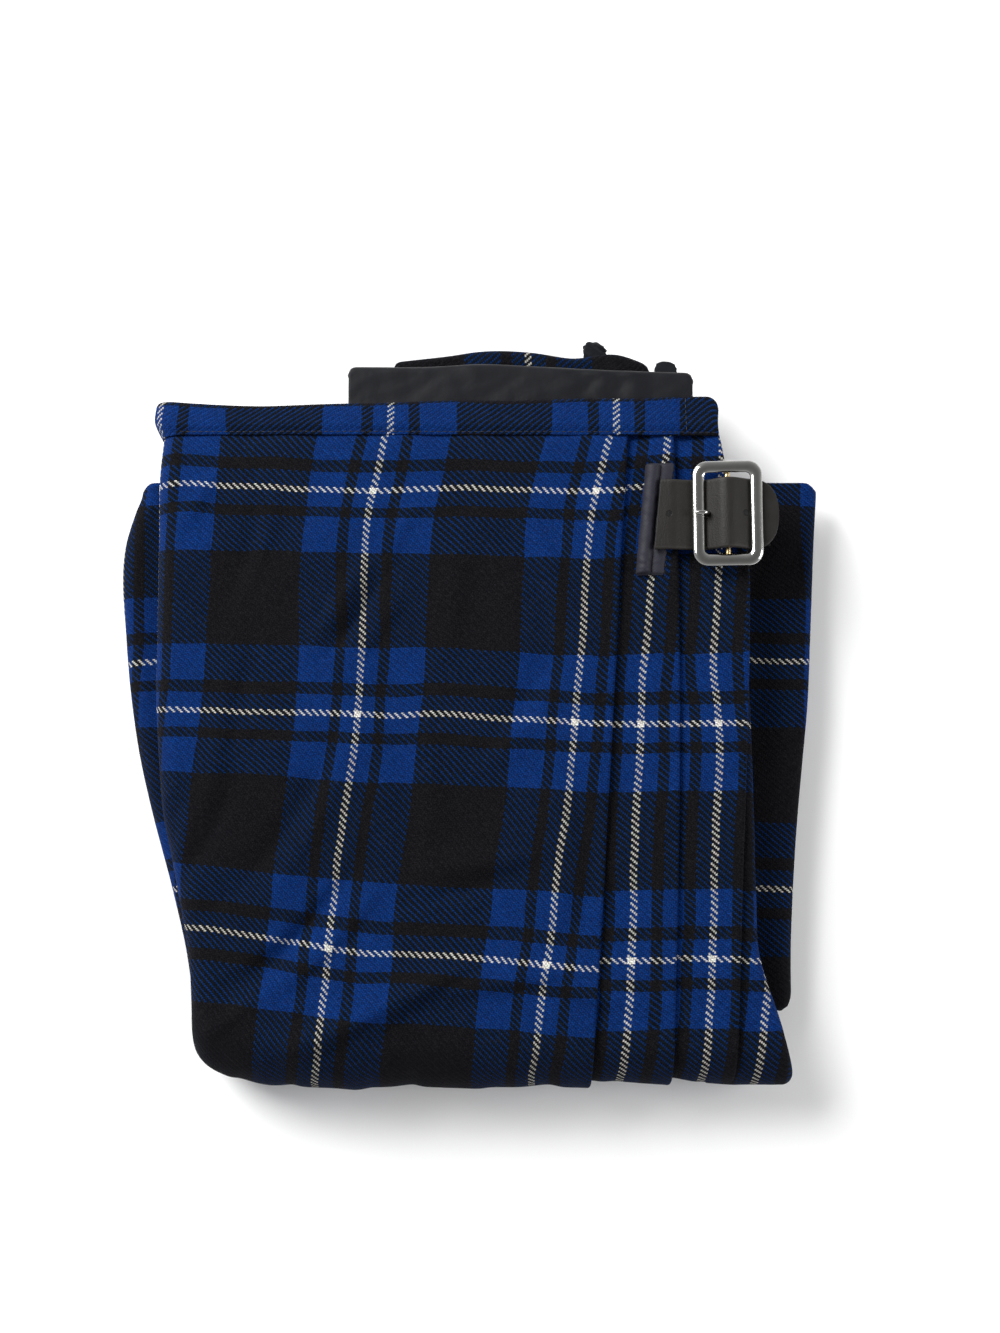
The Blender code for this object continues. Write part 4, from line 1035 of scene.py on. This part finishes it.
def hem_grid(name, side, rows=130, columns=26):
    """(points, uv) of a strip of the hem half: flat, then an arc down at its outer edge.

    `side` is -1 at the left and 1 at the right.
    """
    bend = HEM_ROLLS[name] - CLOTH / 2
    y = np.linspace(HEM_Y, HEM_END, rows)[:, None]
    near_end = np.clip(1 - (y - HEM_END) / HEM_CORNER, 0, 1)
    outer = edge(name, y) - side * HEM_CORNER / 2 * (1 - np.sqrt(1 - near_end**2))
    begin = side * np.minimum(side * HEM_STARTS[name], side * outer - HEM_LEAST[name])
    stop = outer - side * HEM_ROLLS[name]
    top = HALF - GAP - CLOTH / 2
    part = np.linspace(0, 1, columns)
    flat_x = begin * (1 - part) + stop * part
    soft = 0.5 * MM * (1 + np.sin(y / MM / 21 + side)) - 0.6 * creases(-np.abs(flat_x), -side * y)
    angle = np.linspace(0, HEM_TURN, 18)[1:]
    x = np.hstack([flat_x, stop + side * bend * np.sin(angle)])
    z = np.hstack([top - soft * np.sin(math.pi * part) ** 2, top - bend * (1 - np.cos(angle)) + 0 * y])
    flat = np.hstack([flat_x, stop + side * bend * angle])
    furthest = np.maximum.accumulate(side * x, axis=1)
    at_roll = ramp(furthest, side * outer - 8 * MM, side * outer)
    y = y - 4 * MM * at_roll**2 * ramp(y, HEM_Y - 14 * MM, HEM_Y)
    points, uv = join(x, y, z), join(flat - HEM_LINES[name], y - HEM_WEFT_LINE)
    if side < 0:
        return points[:, ::-1], uv[:, ::-1]
    return points, uv


def loop_grid(left, right, start, tip, z, slope, rumple):
    """(points, uv) of a belt loop: a narrow strip folded back at its tip, rumpled by slow waves.

    Half its width falls as a superellipse over the last stretch before the tip, which slopes to one side.
    """
    radius = (LOOP_THICK + GAP) / 2
    fold = tip * MM - radius - LOOP_THICK / 2
    out, home = np.sin(np.linspace(0, math.pi / 2, 22)), np.cos(np.linspace(0, math.pi / 2, 14))
    rows = [(start * MM + (fold - start * MM) * t, z * MM + radius) for t in out]
    for angle in np.linspace(0, math.pi, 8)[1:-1]:
        rows.append((fold + radius * math.sin(angle), z * MM + radius * math.cos(angle)))
    rows += [(start * MM + (fold - start * MM) * t, z * MM - radius) for t in home]
    points = np.array([join(np.linspace(left, right, 16) * MM, y, height) for y, height in rows])[::-1]
    uv = points[..., :2].copy()
    x, y = uv[..., 0] / MM, uv[..., 1] / MM
    points[..., 2] += rumple * MM * np.sin(y / 1.7 + x / 3.0)
    near_tip = np.clip((y - tip + 5.0) / 5.0, 0, 1)
    share = (1 - 0.76 * near_tip**2.8) ** (1 / 2.8) * (1 + 0.14 * rumple * np.sin(y * 1.7 + x / 2))
    middle = (left + right) / 2
    x = middle + (x - middle) * share
    sloped = slope * (x - left) * np.clip((y - start) / (tip - start), 0, 1)
    bowed = 0.08 * (x - middle) ** 2 * near_tip
    uneven = 0.5 * rumple * (1 + np.sin(x * 1.6)) * near_tip
    points[..., 0] = x * MM
    points[..., 1] -= (sloped + bowed + uneven) * MM
    return points, uv


def smooth_run(rows, steps):
    """A curve through (x, lift) rows in mm: Catmull-Rom, `steps` points to a stretch."""
    run = np.array(rows) * MM
    run = np.vstack([2 * run[0] - run[1], run, 2 * run[-1] - run[-2]])
    t = (np.arange(steps) / steps)[None, :, None]
    before, here, after, beyond = (run[k : len(run) - 3 + k, None] for k in range(4))
    bend = (2 * before - 5 * here + 4 * after - beyond) * t * t
    cubic = (3 * here - before - 3 * after + beyond) * t**3
    points = (2 * here + (after - before) * t + bend + cubic) / 2
    return np.vstack([points.reshape(-1, 2), run[-2]])


def strap_z(lift):
    """Height of a point over the middle of the strap."""
    return surface_z(FRAME_X, STRAP_Y, lift)


def normals_of(run):
    """Unit normals of an (x, z) run, pointing up."""
    tangent = np.gradient(run, axis=0)
    tangent = tangent / np.linalg.norm(tangent, axis=1, keepdims=True)
    return join(-tangent[:, 1], tangent[:, 0])


def rounded_section(half_wide, half_thick, radius, across=22, turn=7):
    """(w, h) round a strap's section: flat sides joined by quarter circles, for each half width given."""
    quarter = np.linspace(0, math.pi / 2, turn)
    flat = np.linspace(1, -1, across)[1:-1]
    pieces_w, pieces_h = [], []
    for corner, (sign_w, sign_h) in enumerate(((1, 1), (-1, 1), (-1, -1), (1, -1))):
        angle = quarter + corner * math.pi / 2
        pieces_w.append(sign_w * (half_wide - radius) + radius * np.cos(angle))
        pieces_h.append(sign_h * (half_thick - radius) + radius * np.sin(angle) + 0 * half_wide)
        if corner % 2 == 0:
            direction = 1 if corner == 0 else -1
            pieces_w.append(direction * (half_wide - radius) * flat)
            pieces_h.append(sign_h * half_thick + 0 * pieces_w[-1])
    return np.hstack(pieces_w), np.hstack(pieces_h)


def strap_rings():
    """Rings of the strap: a rounded section carried through the buckle, drawn in round its tip.

    Half the width at the tip is a superellipse. The start is slanted beside the slit's binding.
    """
    run = smooth_run(STRAP_RUN, 7)
    end = run[-1].copy()
    body = run[run[:, 0] < end[0] - STRAP_TIP]
    sweep = np.sin(np.linspace(0, math.radians(86), 22))
    tip_x = end[0] - STRAP_TIP + STRAP_TIP * sweep
    tip = join(tip_x, np.interp(tip_x, run[:, 0], run[:, 1]))
    run = np.vstack([body, tip])
    share = np.concatenate([np.zeros(len(body)), sweep])
    half = STRAP_WIDE / 2 * (1 - share**TIP_POWER) ** (1 / TIP_POWER)
    radius = 1.0 * MM
    wide, high = rounded_section(np.maximum(half, 1.6 * MM)[:, None], STRAP_THICK / 2, radius)
    normal = normals_of(run)
    y = STRAP_Y + wide
    lean = WELTS[0]
    welt = np.interp(y / MM, [lean[4], lean[2]], [lean[3], lean[1]]) * MM + lean[5] * MM / 2
    shift = (welt + WELT_GAP - run[0, 0]) * (1 - ramp(run[:, :1], *STRAP_BEND))
    crown = 0.25 * MM * (1 - (wide / (STRAP_WIDE / 2)) ** 2) * np.sign(high)
    lift = run[:, 1:] + STRAP_THICK / 2 + (high + np.maximum(crown, 0)) * normal[:, 1:]
    x = run[:, :1] + shift + high * normal[:, :1]
    return join(x, y, strap_z(lift))


def outline(wide, long, corner, angles):
    """Points of a rectangle with rounded corners, at angles round the quarter circles of its corners."""
    sign_x, sign_y = np.sign(np.cos(angles)), np.sign(np.sin(angles))
    bend = np.arctan2(np.abs(np.sin(angles)), np.abs(np.cos(angles)))
    x = sign_x * (wide / 2 - corner + corner * np.cos(bend))
    y = sign_y * (long / 2 - corner + corner * np.sin(bend))
    return join(x, y)


def frame_rings():
    """Rings of the buckle's frame: an oval section between its inner and outer rounded rectangles.

    Stations turn round each corner and stand at even steps along each side.
    """
    corner = np.linspace(0.001, math.pi / 2 - 0.001, 12)
    stations = np.concatenate([corner + quarter * math.pi / 2 for quarter in range(4)])
    outer = outline(FRAME_WIDE, FRAME_LONG, FRAME_CORNER, stations)
    inner = outline(FRAME_WIDE - 2 * FRAME_BAR, FRAME_LONG - 2 * FRAME_BAR, FRAME_INNER_CORNER, stations)
    pairs = np.concatenate([outer, inner], axis=1)
    filled = []
    for start, stop in zip(pairs, np.roll(pairs, -1, axis=0)):
        steps = max(1, int(np.linalg.norm(stop[:2] - start[:2]) / (1.2 * MM)))
        filled.append(start + (stop - start) * (np.arange(steps) / steps)[:, None])
    pairs = np.vstack(filled)
    outer, inner = pairs[:, None, :2], pairs[:, None, 2:]
    angle = circle(28)[None, :, None]
    high = np.sin(angle)
    flat = (outer + inner) / 2 + (outer - inner) / 2 * np.cos(angle)
    z = FRAME_THICK / 2 * high * np.where(high > 0, 1.0, 0.8)
    return np.concatenate([flat, np.broadcast_to(z, flat.shape[:2] + (1,))], axis=-1)


def buckle_place(points):
    """Points of the buckle's own axes turned by its tilt and set over the strap."""
    x, y, z = points[..., 0], points[..., 1], points[..., 2]
    cos, sin = math.cos(FRAME_TILT), math.sin(FRAME_TILT)
    return join(x * cos + z * sin + FRAME_X, y + STRAP_Y, z * cos - x * sin + strap_z(FRAME_LIFT))


def tube_rings(path, radius, sides):
    """Rings of `sides` points round a path in the plane of the strap's run, at the radii given."""
    normal = normals_of(path)
    angle = circle(sides)
    out = radius[:, None] * np.cos(angle)
    x = path[:, :1] + out * normal[:, :1]
    z = path[:, 1:] + out * normal[:, 1:]
    y = STRAP_Y + radius[:, None] * np.sin(angle)
    return join(x, y, z)


def welt_grid(top_x, top_y, bottom_x, bottom_y, wide, high, rows=110, columns=20):
    """Rings of a slit binding: half an ellipse over its width, puckered along it and rounded at its ends."""
    side = np.cos(np.linspace(math.pi, 0, columns))
    along = np.linspace(0, 1, rows)[:, None]
    ends = np.minimum(1, np.minimum(along, 1 - along) * (top_y - bottom_y) / 1.2) ** 0.5
    y = top_y + (bottom_y - top_y) * along
    pucker = 0.022 * np.sin(y * 1.3 + 1.2 * side + 2 * np.sin(y * 0.31)) * (1 + np.sin(y * 0.23 + top_x))
    pucker = pucker + 0.05 * np.sin(y * 0.41 + 1 + 0.8 * side)
    reach = (wide + WELT_SPREAD) / 2 * (1 + 0.03 * np.sin(y * 0.6 + np.sin(y * 0.27))) * (0.75 + 0.25 * ends)
    x = (top_x + (bottom_x - top_x) * along - WELT_SHIFT + side * reach) * MM
    y = (y + 0 * side) * MM
    base = strip_lift(1, x, y) + CLOTH / 2 + 0.2 * MM
    crown = high * MM * (0.12 + 0.88 * np.sqrt(1 - side**2)) * ends * (1 + pucker)
    upper, lower = (join(x, y, surface_z(x, y, lift)) for lift in (base + crown, base))
    return np.concatenate([upper, lower[:, -2:0:-1]], axis=1)


def stitches(name, path, length, step, radius=0.22 * MM, bands=7, sides=6):
    """A row of stitches on a path: ellipsoids of six sides, one at each step of its length."""
    travelled = np.concatenate([[0], np.cumsum(step_lengths(path))])

    def at(places):
        return join(*(np.interp(places, travelled, path[:, k]) for k in range(3)))

    places = np.arange(step / 2, travelled[-1], step)
    centre = at(places)
    tangent = at(places + length / 2) - centre
    tangent = tangent / np.maximum(np.linalg.norm(tangent, axis=1, keepdims=True), 1e-9)
    up = np.broadcast_to((0.0, 0.0, 1.0), tangent.shape)
    beside = np.cross(tangent, up)
    latitude = np.linspace(-1, 1, bands) * math.pi / 2 * 0.96
    longitude = circle(sides)
    along = (np.sin(latitude) * length / 2)[:, None] + 0 * longitude
    out, over = (np.cos(latitude)[:, None] * wave(longitude) * radius for wave in (np.cos, np.sin))
    points = centre[:, None, None] + along[..., None] * tangent[:, None, None]
    points = points + out[..., None] * beside[:, None, None] + over[..., None] * up[:, None, None]
    starts = np.arange(len(places)) * bands * sides
    faces = (grid_faces(bands, sides, closed=True)[None] + starts[:, None, None]).reshape(-1, 4)
    first, last = np.arange(sides), (bands - 1) * sides + np.arange(sides)[::-1]
    caps = [start + first for start in starts] + [start + last for start in starts]
    add_mesh(name, points, faces, thread_material("sewing_thread"), caps=caps)


def core_top(x, y):
    """Height of the hidden layers' top, sunk below the creases' troughs."""
    return surface_z(x, y, core_lift(x, y) - 0.5 * MM + np.minimum(creases(x, y), 0))


def core_ring(left, right, top, height):
    """A ring of the hidden layers: a rounded rectangle between two edges, from `top` into the bottom fold.

    Its lower end stays inside the cloth round the fold at the ring's own height, which a few rounds find.
    """
    angle = circle(CORE_POINTS)
    across, along = (np.sign(part) * np.abs(part) ** CORE_POWER for part in (np.cos(angle), np.sin(angle)))
    near = edge("left", FOLD_Y) + ROLL_RADIUS + 2 * MM
    far = edge("pleat_3", FOLD_Y - FOLD_RADIUS) - PLEAT_FOLD - 2 * MM
    y = np.where(along > 0, top * along, FOLD_Y * -along)
    for _ in range(4):
        x = (left(y) + right(y)) / 2 + (right(y) - left(y)) / 2 * across
        inside = FOLD_RADIUS + core_lift(x, np.full_like(x, FOLD_Y)) - 2 * GAP
        depth = np.sqrt(np.clip(inside**2 - (height(x, y) - FOLD_HEIGHT) ** 2, 0, None))
        depth = depth * ramp(x, near, near + 8 * MM) * ramp(-x, -far, 8 * MM - far)
        low = fold_y(x) + 1.5 * MM - depth
        y = low + (top - low) * (along + 1) / 2
    y = y - 12 * MM * ramp(-x, 46 * MM, 66 * MM) * ramp(y, BAND_SEAM, WAIST_Y)
    return join(x, y, height(x, y))


def core_side(name, inset, waist=0.0):
    """A side of the hidden layers, set in from a named edge, and further in at the waistband."""
    return lambda y: edge(name, y) + inset + waist * ramp(y, BAND_SEAM - 8 * MM, BAND_SEAM)


def neck_side(name, side):
    """A side of the layers between both halves, inside the hem half's strip. `side` is as in hem_grid."""
    return lambda y: side * (np.minimum(side * HEM_STARTS[name], side * edge(name, y) - NECK_LEAST) - 4 * MM)


def level_height(z):
    """The height of a level ring, at any point of it."""
    return lambda x, y: np.full_like(x, z)


def waist_height(share):
    """The height of a ring in the waist half, a share of the way up to the cloth over it."""

    def height(x, y):
        low = HALF + GAP / 2 - WAIST_DROP * ramp(y, DROOP_START, WAIST_Y)
        return low + (core_top(x, y) - low) * share

    return height


def half_circle(share):
    """Height of a half circle over its base, as a share of its radius: 0 at both ends, 1 in the middle."""
    return math.sqrt(max(0.0, 1 - (2 * share - 1) ** 2))


def core_rings():
    """Rings of the hidden layers from the floor up, and their cap.

    Their sides bulge as two leaves to a bundle, a half circle to each leaf, and stand inside the rolls of the
    cloth round them: the hem strips' below, the apron's above.
    """
    hem_roll = HEM_ROLLS["hem_left"]
    rings = []
    for row, (left, right, inset_right, top, radius) in enumerate(BUNDLES):
        for part in np.linspace(0, 1, 17):
            leaf = 1 - abs(2 * ((2 * part) % 1) - 1) if part < 1 else 0.0
            bulge = radius * MM * (1 - half_circle(part) * 0.75 - 0.25 * math.sqrt(leaf))
            share = (row % 2 + part) / 2
            end = (top - 0.4) * MM - bulge
            if row < 2:
                off_centre = HEM_TOP * share - (HALF - GAP - hem_roll)
                inset = hem_roll + 2.2 * MM - math.sqrt(max(0.0, (hem_roll - LAYER) ** 2 - off_centre**2))
                height = level_height(HEM_TOP * share)
            else:
                inset = LAYER + 2.5 * MM + (ROLL_RADIUS - LAYER) * (1 - half_circle(share))
                height = waist_height(share)
            if row == 2 and part == 0:
                neck = neck_side("hem_left", -1), neck_side("hem_right", 1)
                rings += [core_ring(*neck, NECK_END, level_height(z)) for z in (HEM_TOP, HALF)]
                end = NECK_TOP_END
            left_side = core_side(left, inset + 0.35 * bulge, 6.5 * MM)
            right_side = core_side(right, -(inset_right + 0.4) * MM - bulge)
            rings.append(core_ring(left_side, right_side, end, height))
    rim = rings[-1]
    for scale in np.linspace(0.96, 0.04, 24):
        x, y = rim[:, 0] * scale, rim[:, 1] * scale
        rings.append(join(x, y, core_top(x, y)))
    return np.array(rings)


# --- operators ---


class KiltPieces:
    """What every operator shares: its `build` makes pieces in the scene."""

    def execute(self, context):
        self.build(context.scene)
        return {"FINISHED"}


class KILT_OT_panels(KiltPieces, bpy.types.Operator):
    """Make the over-apron and the pleats beside it, from the waist round the bottom fold."""

    bl_idname = "kilt.panels"
    bl_label = "Apron and pleats"

    def build(self, scene):
        cloth = tartan_material("tartan_cloth", 1.0)
        for strip, columns in enumerate((140, 26, 26, 20)):
            node = STRIPS[strip][0]
            add_cloth(node + "_cloth", *strip_grid(strip, columns), cloth, node, "tartan")


class KILT_OT_waistbands(KiltPieces, bpy.types.Operator):
    """Make the front waistband and the back one that shows behind it, with the twill turned the other way."""

    bl_idname = "kilt.waistbands"
    bl_label = "Waistbands"

    def build(self, scene):
        cloth = tartan_material("tartan_band", -1.0)
        points, uv = front_band_grid()
        over = ["over_apron_cloth"]
        add_cloth("waistband_front_cloth", points, uv, cloth, "waistband_front", "tartan", rests_on=over)

        def flat(x, y):
            return BACK_BAND_Z + 0 * x

        def buckled(x, y):
            return 0.35 * MM * np.sin(x / MM / 5.3 + np.sin(y / MM / 4))

        points, uv = tier_grid(BACK_BAND_ENDS, BACK_BAND_TOP, *BACK_BAND_RUN, flat, 90, buckled)
        add_cloth("waistband_back_cloth", points, uv + BACK_BAND_LINES, cloth, "waistband_back", "tartan")


class KILT_OT_lining(KiltPieces, bpy.types.Operator):
    """Make the plain lining strip inside the back of the waist, and the two belt loops."""

    bl_idname = "kilt.lining"
    bl_label = "Lining and belt loops"

    def build(self, scene):
        cloth = plain_cloth_material("lining_cloth", scene.kilt_trim.lining, 2400.0, 0.6, "cloth")

        def lying(x, y):
            lift = core_lift(x, np.full_like(x, WAIST_Y)) + MIDDLE + GAP
            return surface_z(x, np.minimum(y, WAIST_Y), lift)

        def crinkled(x, y):
            x, y = x / MM, y / MM
            gape = np.exp(-(((x - 66) / 20) ** 2))
            small = 0.16 * np.sin(x / 3.1 + 1.4 * np.sin(y / 3.7)) * np.sin(y / 2.9 + 1.2 * np.sin(x / 6.3))
            broad = 0.22 * np.sin(x / 8.7 - y / 5.2 + np.sin(x / 19))
            broad = broad + 0.14 * np.sin(x / 5.3 + y / 4.1 + np.sin(x / 11))
            return MM * (small + broad + 0.5 * gape * np.sin(x / 2.6 + 0.9 * np.sin(y / 2.5) + y / 7))

        grid = tier_grid(LINING_ENDS, LINING_TOP, *LINING_RUN, lying, 150, crinkled)
        add_cloth("lining_strip_cloth", *grid, cloth, "lining_strip", "lining")
        tape = plain_cloth_material("loop_tape", scene.kilt_trim.tape, 1500.0, 1.0, "cloth")
        for node, *sizes in LOOPS:
            add_cloth(node + "_tape", *loop_grid(*sizes), tape, node, "lining", LOOP_WALL)


class KILT_OT_hem_strips(KiltPieces, bpy.types.Operator):
    """Make the edges of the hem half that show past both sides of the waist half."""

    bl_idname = "kilt.hem_strips"
    bl_label = "Hem edges"

    def build(self, scene):
        cloth = tartan_material("tartan_cloth", 1.0)
        for node, side in (("hem_left", -1), ("hem_right", 1)):
            add_cloth(node + "_cloth", *hem_grid(node, side), cloth, node, "tartan")


class KILT_OT_inner_layers(KiltPieces, bpy.types.Operator):
    """Make the hidden layers with the folded edges that show between the panels."""

    bl_idname = "kilt.inner_layers"
    bl_label = "Inner layers"

    def build(self, scene):
        rings = core_rings()[::-1]
        uv = rings[..., :2] + 0.8 * rings[..., 2:]
        cloth = tartan_material("tartan_cloth", 1.0)
        add_loft("inner_layers", rings, cloth, "folded_layers", uv)


class KILT_OT_slit(KiltPieces, bpy.types.Operator):
    """Make the two bindings of the slit that the strap comes out of."""

    bl_idname = "kilt.slit"
    bl_label = "Slit bindings"

    def build(self, scene):
        satin = plain_cloth_material("slit_binding", scene.kilt_trim.binding, 2100.0, 0.9, "object")
        for node, *sizes in WELTS:
            add_loft(node + "_binding", welt_grid(*sizes)[::-1], satin, node)


class KILT_OT_strap(KiltPieces, bpy.types.Operator):
    """Make the leather strap and finish the buckle's tab under it."""

    bl_idname = "kilt.strap"
    bl_label = "Strap"

    def build(self, scene):
        leather = leather_material("strap_leather")
        add_loft("strap_leather", strap_rings(), leather, "strap")
        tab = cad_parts["buckle_tab"]
        tab.data.materials.clear()
        tab.data.materials.append(leather)


class KILT_OT_buckle(KiltPieces, bpy.types.Operator):
    """Make the buckle's frame, its middle bar and its prong."""

    bl_idname = "kilt.buckle"
    bl_label = "Buckle"

    def build(self, scene):
        nickel = metal_material("bright_nickel", scene.kilt_trim.nickel, 0.12)
        rings = buckle_place(frame_rings())
        rows, count, _ = rings.shape
        faces = grid_faces(rows + 1, count, closed=True) % (rows * count)
        frame_piece = add_mesh("buckle_frame_metal", rings, faces, nickel)
        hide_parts("buckle_frame")
        brass = metal_material("worn_brass", BRASS, 0.30)
        half = FRAME_LONG / 2 - FRAME_BAR + 1 * MM
        along = np.linspace(-half, half, 24)[:, None]
        angle = circle(20)
        bar = join(BAR_RADIUS * np.cos(angle), along, BAR_RADIUS * np.sin(angle) - BAR_SAG)
        add_loft("middle_bar", buckle_place(bar), brass)
        path = smooth_run(PRONG_RUN, 8)
        path[:, 1] = strap_z(path[:, 1])
        radius = PRONG_RADIUS * np.interp(np.linspace(0, 1, len(path)), *PRONG_TAPER)
        add_loft("buckle_prong_metal", tube_rings(path, radius, 18), nickel, "buckle_prong")


class KILT_OT_stitching(KiltPieces, bpy.types.Operator):
    """Sew the waistband's lower edge, its overlap and the slit's bindings."""

    bl_idname = "kilt.stitching"
    bl_label = "Stitching"

    def build(self, scene):
        length = scene.kilt_trim.stitch
        x = np.linspace(*SEAM_ENDS, 200)
        y = np.full_like(x, BAND_SEAM + SEAM_STITCH_RISE)
        z = surface_z(x, y, band_lift(x) + CLOTH / 2 + 0.2 * MM + band_sway(x, y))
        stitches("waistband_stitches", join(x, y, z), length, length * STITCH_STEP)
        y = np.linspace(BAND_SEAM + 1.5 * MM, BAND_TOP - 2.5 * MM, 30)
        x = np.full_like(y, OVERLAP_X)
        z = surface_z(x, y, band_lift(x) + CLOTH / 2 + 0.55 * MM)
        stitches("overlap_stitches", join(x, y, z), length, length * STITCH_STEP)
        for node, top_x, top_y, bottom_x, bottom_y, wide, _ in WELTS:
            side = -1 if node.endswith("left") else 1
            part = np.linspace(0.03, 0.97, 60)
            x = (top_x + (bottom_x - top_x) * part + side * (wide / 2 + 0.3)) * MM
            y = (top_y + (bottom_y - top_y) * part) * MM
            z = surface_z(x, y, strip_lift(1, x, y) + CLOTH / 2 + 0.2 * MM)
            stitches(node + "_stitches", join(x, y, z), length, length * WELT_STITCH_STEP)


class KILT_OT_stage(KiltPieces, bpy.types.Operator):
    """Set the pale table, the soft lights and the camera."""

    bl_idname = "kilt.stage"
    bl_label = "Stage"

    def build(self, scene):
        stage = scene.kilt_stage
        self.table(scene, stage.floor)
        for light in LIGHTS:
            self.light(scene, stage.key, *light)
        self.sky(scene, stage.sky)
        self.camera(scene, stage.distance, stage.elevation)
        scene.view_settings.view_transform = "Standard"

    def table(self, scene, colour):
        corners = [(-0.5, 0.5), (-0.5, -0.5), (0.5, -0.5), (0.5, 0.5)]
        mesh = bpy.data.meshes.new("table")
        mesh.from_pydata([(x * TABLE_SIDE, y * TABLE_SIDE, 0.0) for x, y in corners], [], [(0, 1, 2, 3)])
        mesh.materials.append(table_material("table", colour))
        table = bpy.data.objects.new("table", mesh)
        scene.collection.objects.link(table)

    def light(self, scene, power, name, x, y, z, size, share):
        """A square soft light that faces the kilt."""
        data = bpy.data.lights.new(name, "AREA")
        data.size = size
        data.energy = power * share
        lamp = bpy.data.objects.new(name, data)
        lamp.location = (x, y, z)
        lamp.rotation_euler = (math.atan2(math.hypot(x, y), z), 0.0, math.atan2(y, x) + math.pi / 2)
        scene.collection.objects.link(lamp)

    def sky(self, scene, strength):
        """An even light all round, darker overhead."""
        world = bpy.data.worlds.new("sky")
        scene.world = world
        world.use_nodes = True
        background = world.node_tree.nodes["Background"]
        set_inputs(background, Strength=strength)
        n = Nodes(world.node_tree)
        direction = n.add("ShaderNodeTexCoord").outputs["Generated"]
        n.link(n.carry(n.parts(direction)["Z"], 0.0, 1.0, 1.0, 0.22), background, "Color")

    def camera(self, scene, distance, elevation):
        camera = bpy.data.objects.new("camera", bpy.data.cameras.new("camera"))
        camera.data.sensor_fit = "VERTICAL"
        camera.data.sensor_height = SENSOR
        camera.data.lens = SENSOR / (2 * math.tan(HALF_VIEW))
        back, rise = distance * math.cos(elevation), distance * math.sin(elevation)
        camera.location = (AIM[0], AIM[1] - back, AIM[2] + rise)
        camera.rotation_euler = (math.pi / 2 - elevation, 0.0, 0.0)
        scene.collection.objects.link(camera)
        scene.camera = camera


OPERATORS = (
    KILT_OT_stage,
    KILT_OT_panels,
    KILT_OT_waistbands,
    KILT_OT_lining,
    KILT_OT_hem_strips,
    KILT_OT_inner_layers,
    KILT_OT_slit,
    KILT_OT_strap,
    KILT_OT_buckle,
    KILT_OT_stitching,
)
GROUPS = {"kilt_cloth": KiltCloth, "kilt_trim": KiltTrim, "kilt_stage": KiltStage}


class KILT_PT_sidebar(bpy.types.Panel):
    """The kilt's sizes, colours and pieces."""

    bl_idname = "KILT_PT_sidebar"
    bl_label = "Folded kilt"
    bl_space_type = "VIEW_3D"
    bl_region_type = "UI"
    bl_category = "Kilt"

    def draw(self, context):
        for group in GROUPS:
            settings = getattr(context.scene, group)
            box = self.layout.box()
            for name in type(settings).__annotations__:
                box.prop(settings, name)
        for operator in OPERATORS:
            self.layout.operator(operator.bl_idname)


def register():
    for kind in (*GROUPS.values(), *OPERATORS, KILT_PT_sidebar):
        bpy.utils.register_class(kind)
    for name, kind in GROUPS.items():
        setattr(bpy.types.Scene, name, bpy.props.PointerProperty(type=kind))


def unregister():
    for name in GROUPS:
        delattr(bpy.types.Scene, name)
    for kind in (KILT_PT_sidebar, *reversed(OPERATORS), *GROUPS.values()):
        bpy.utils.unregister_class(kind)


def main():
    register()
    for operator in OPERATORS:
        group, name = operator.bl_idname.split(".")
        getattr(getattr(bpy.ops, group), name)()


if __name__ == "__main__":
    main()
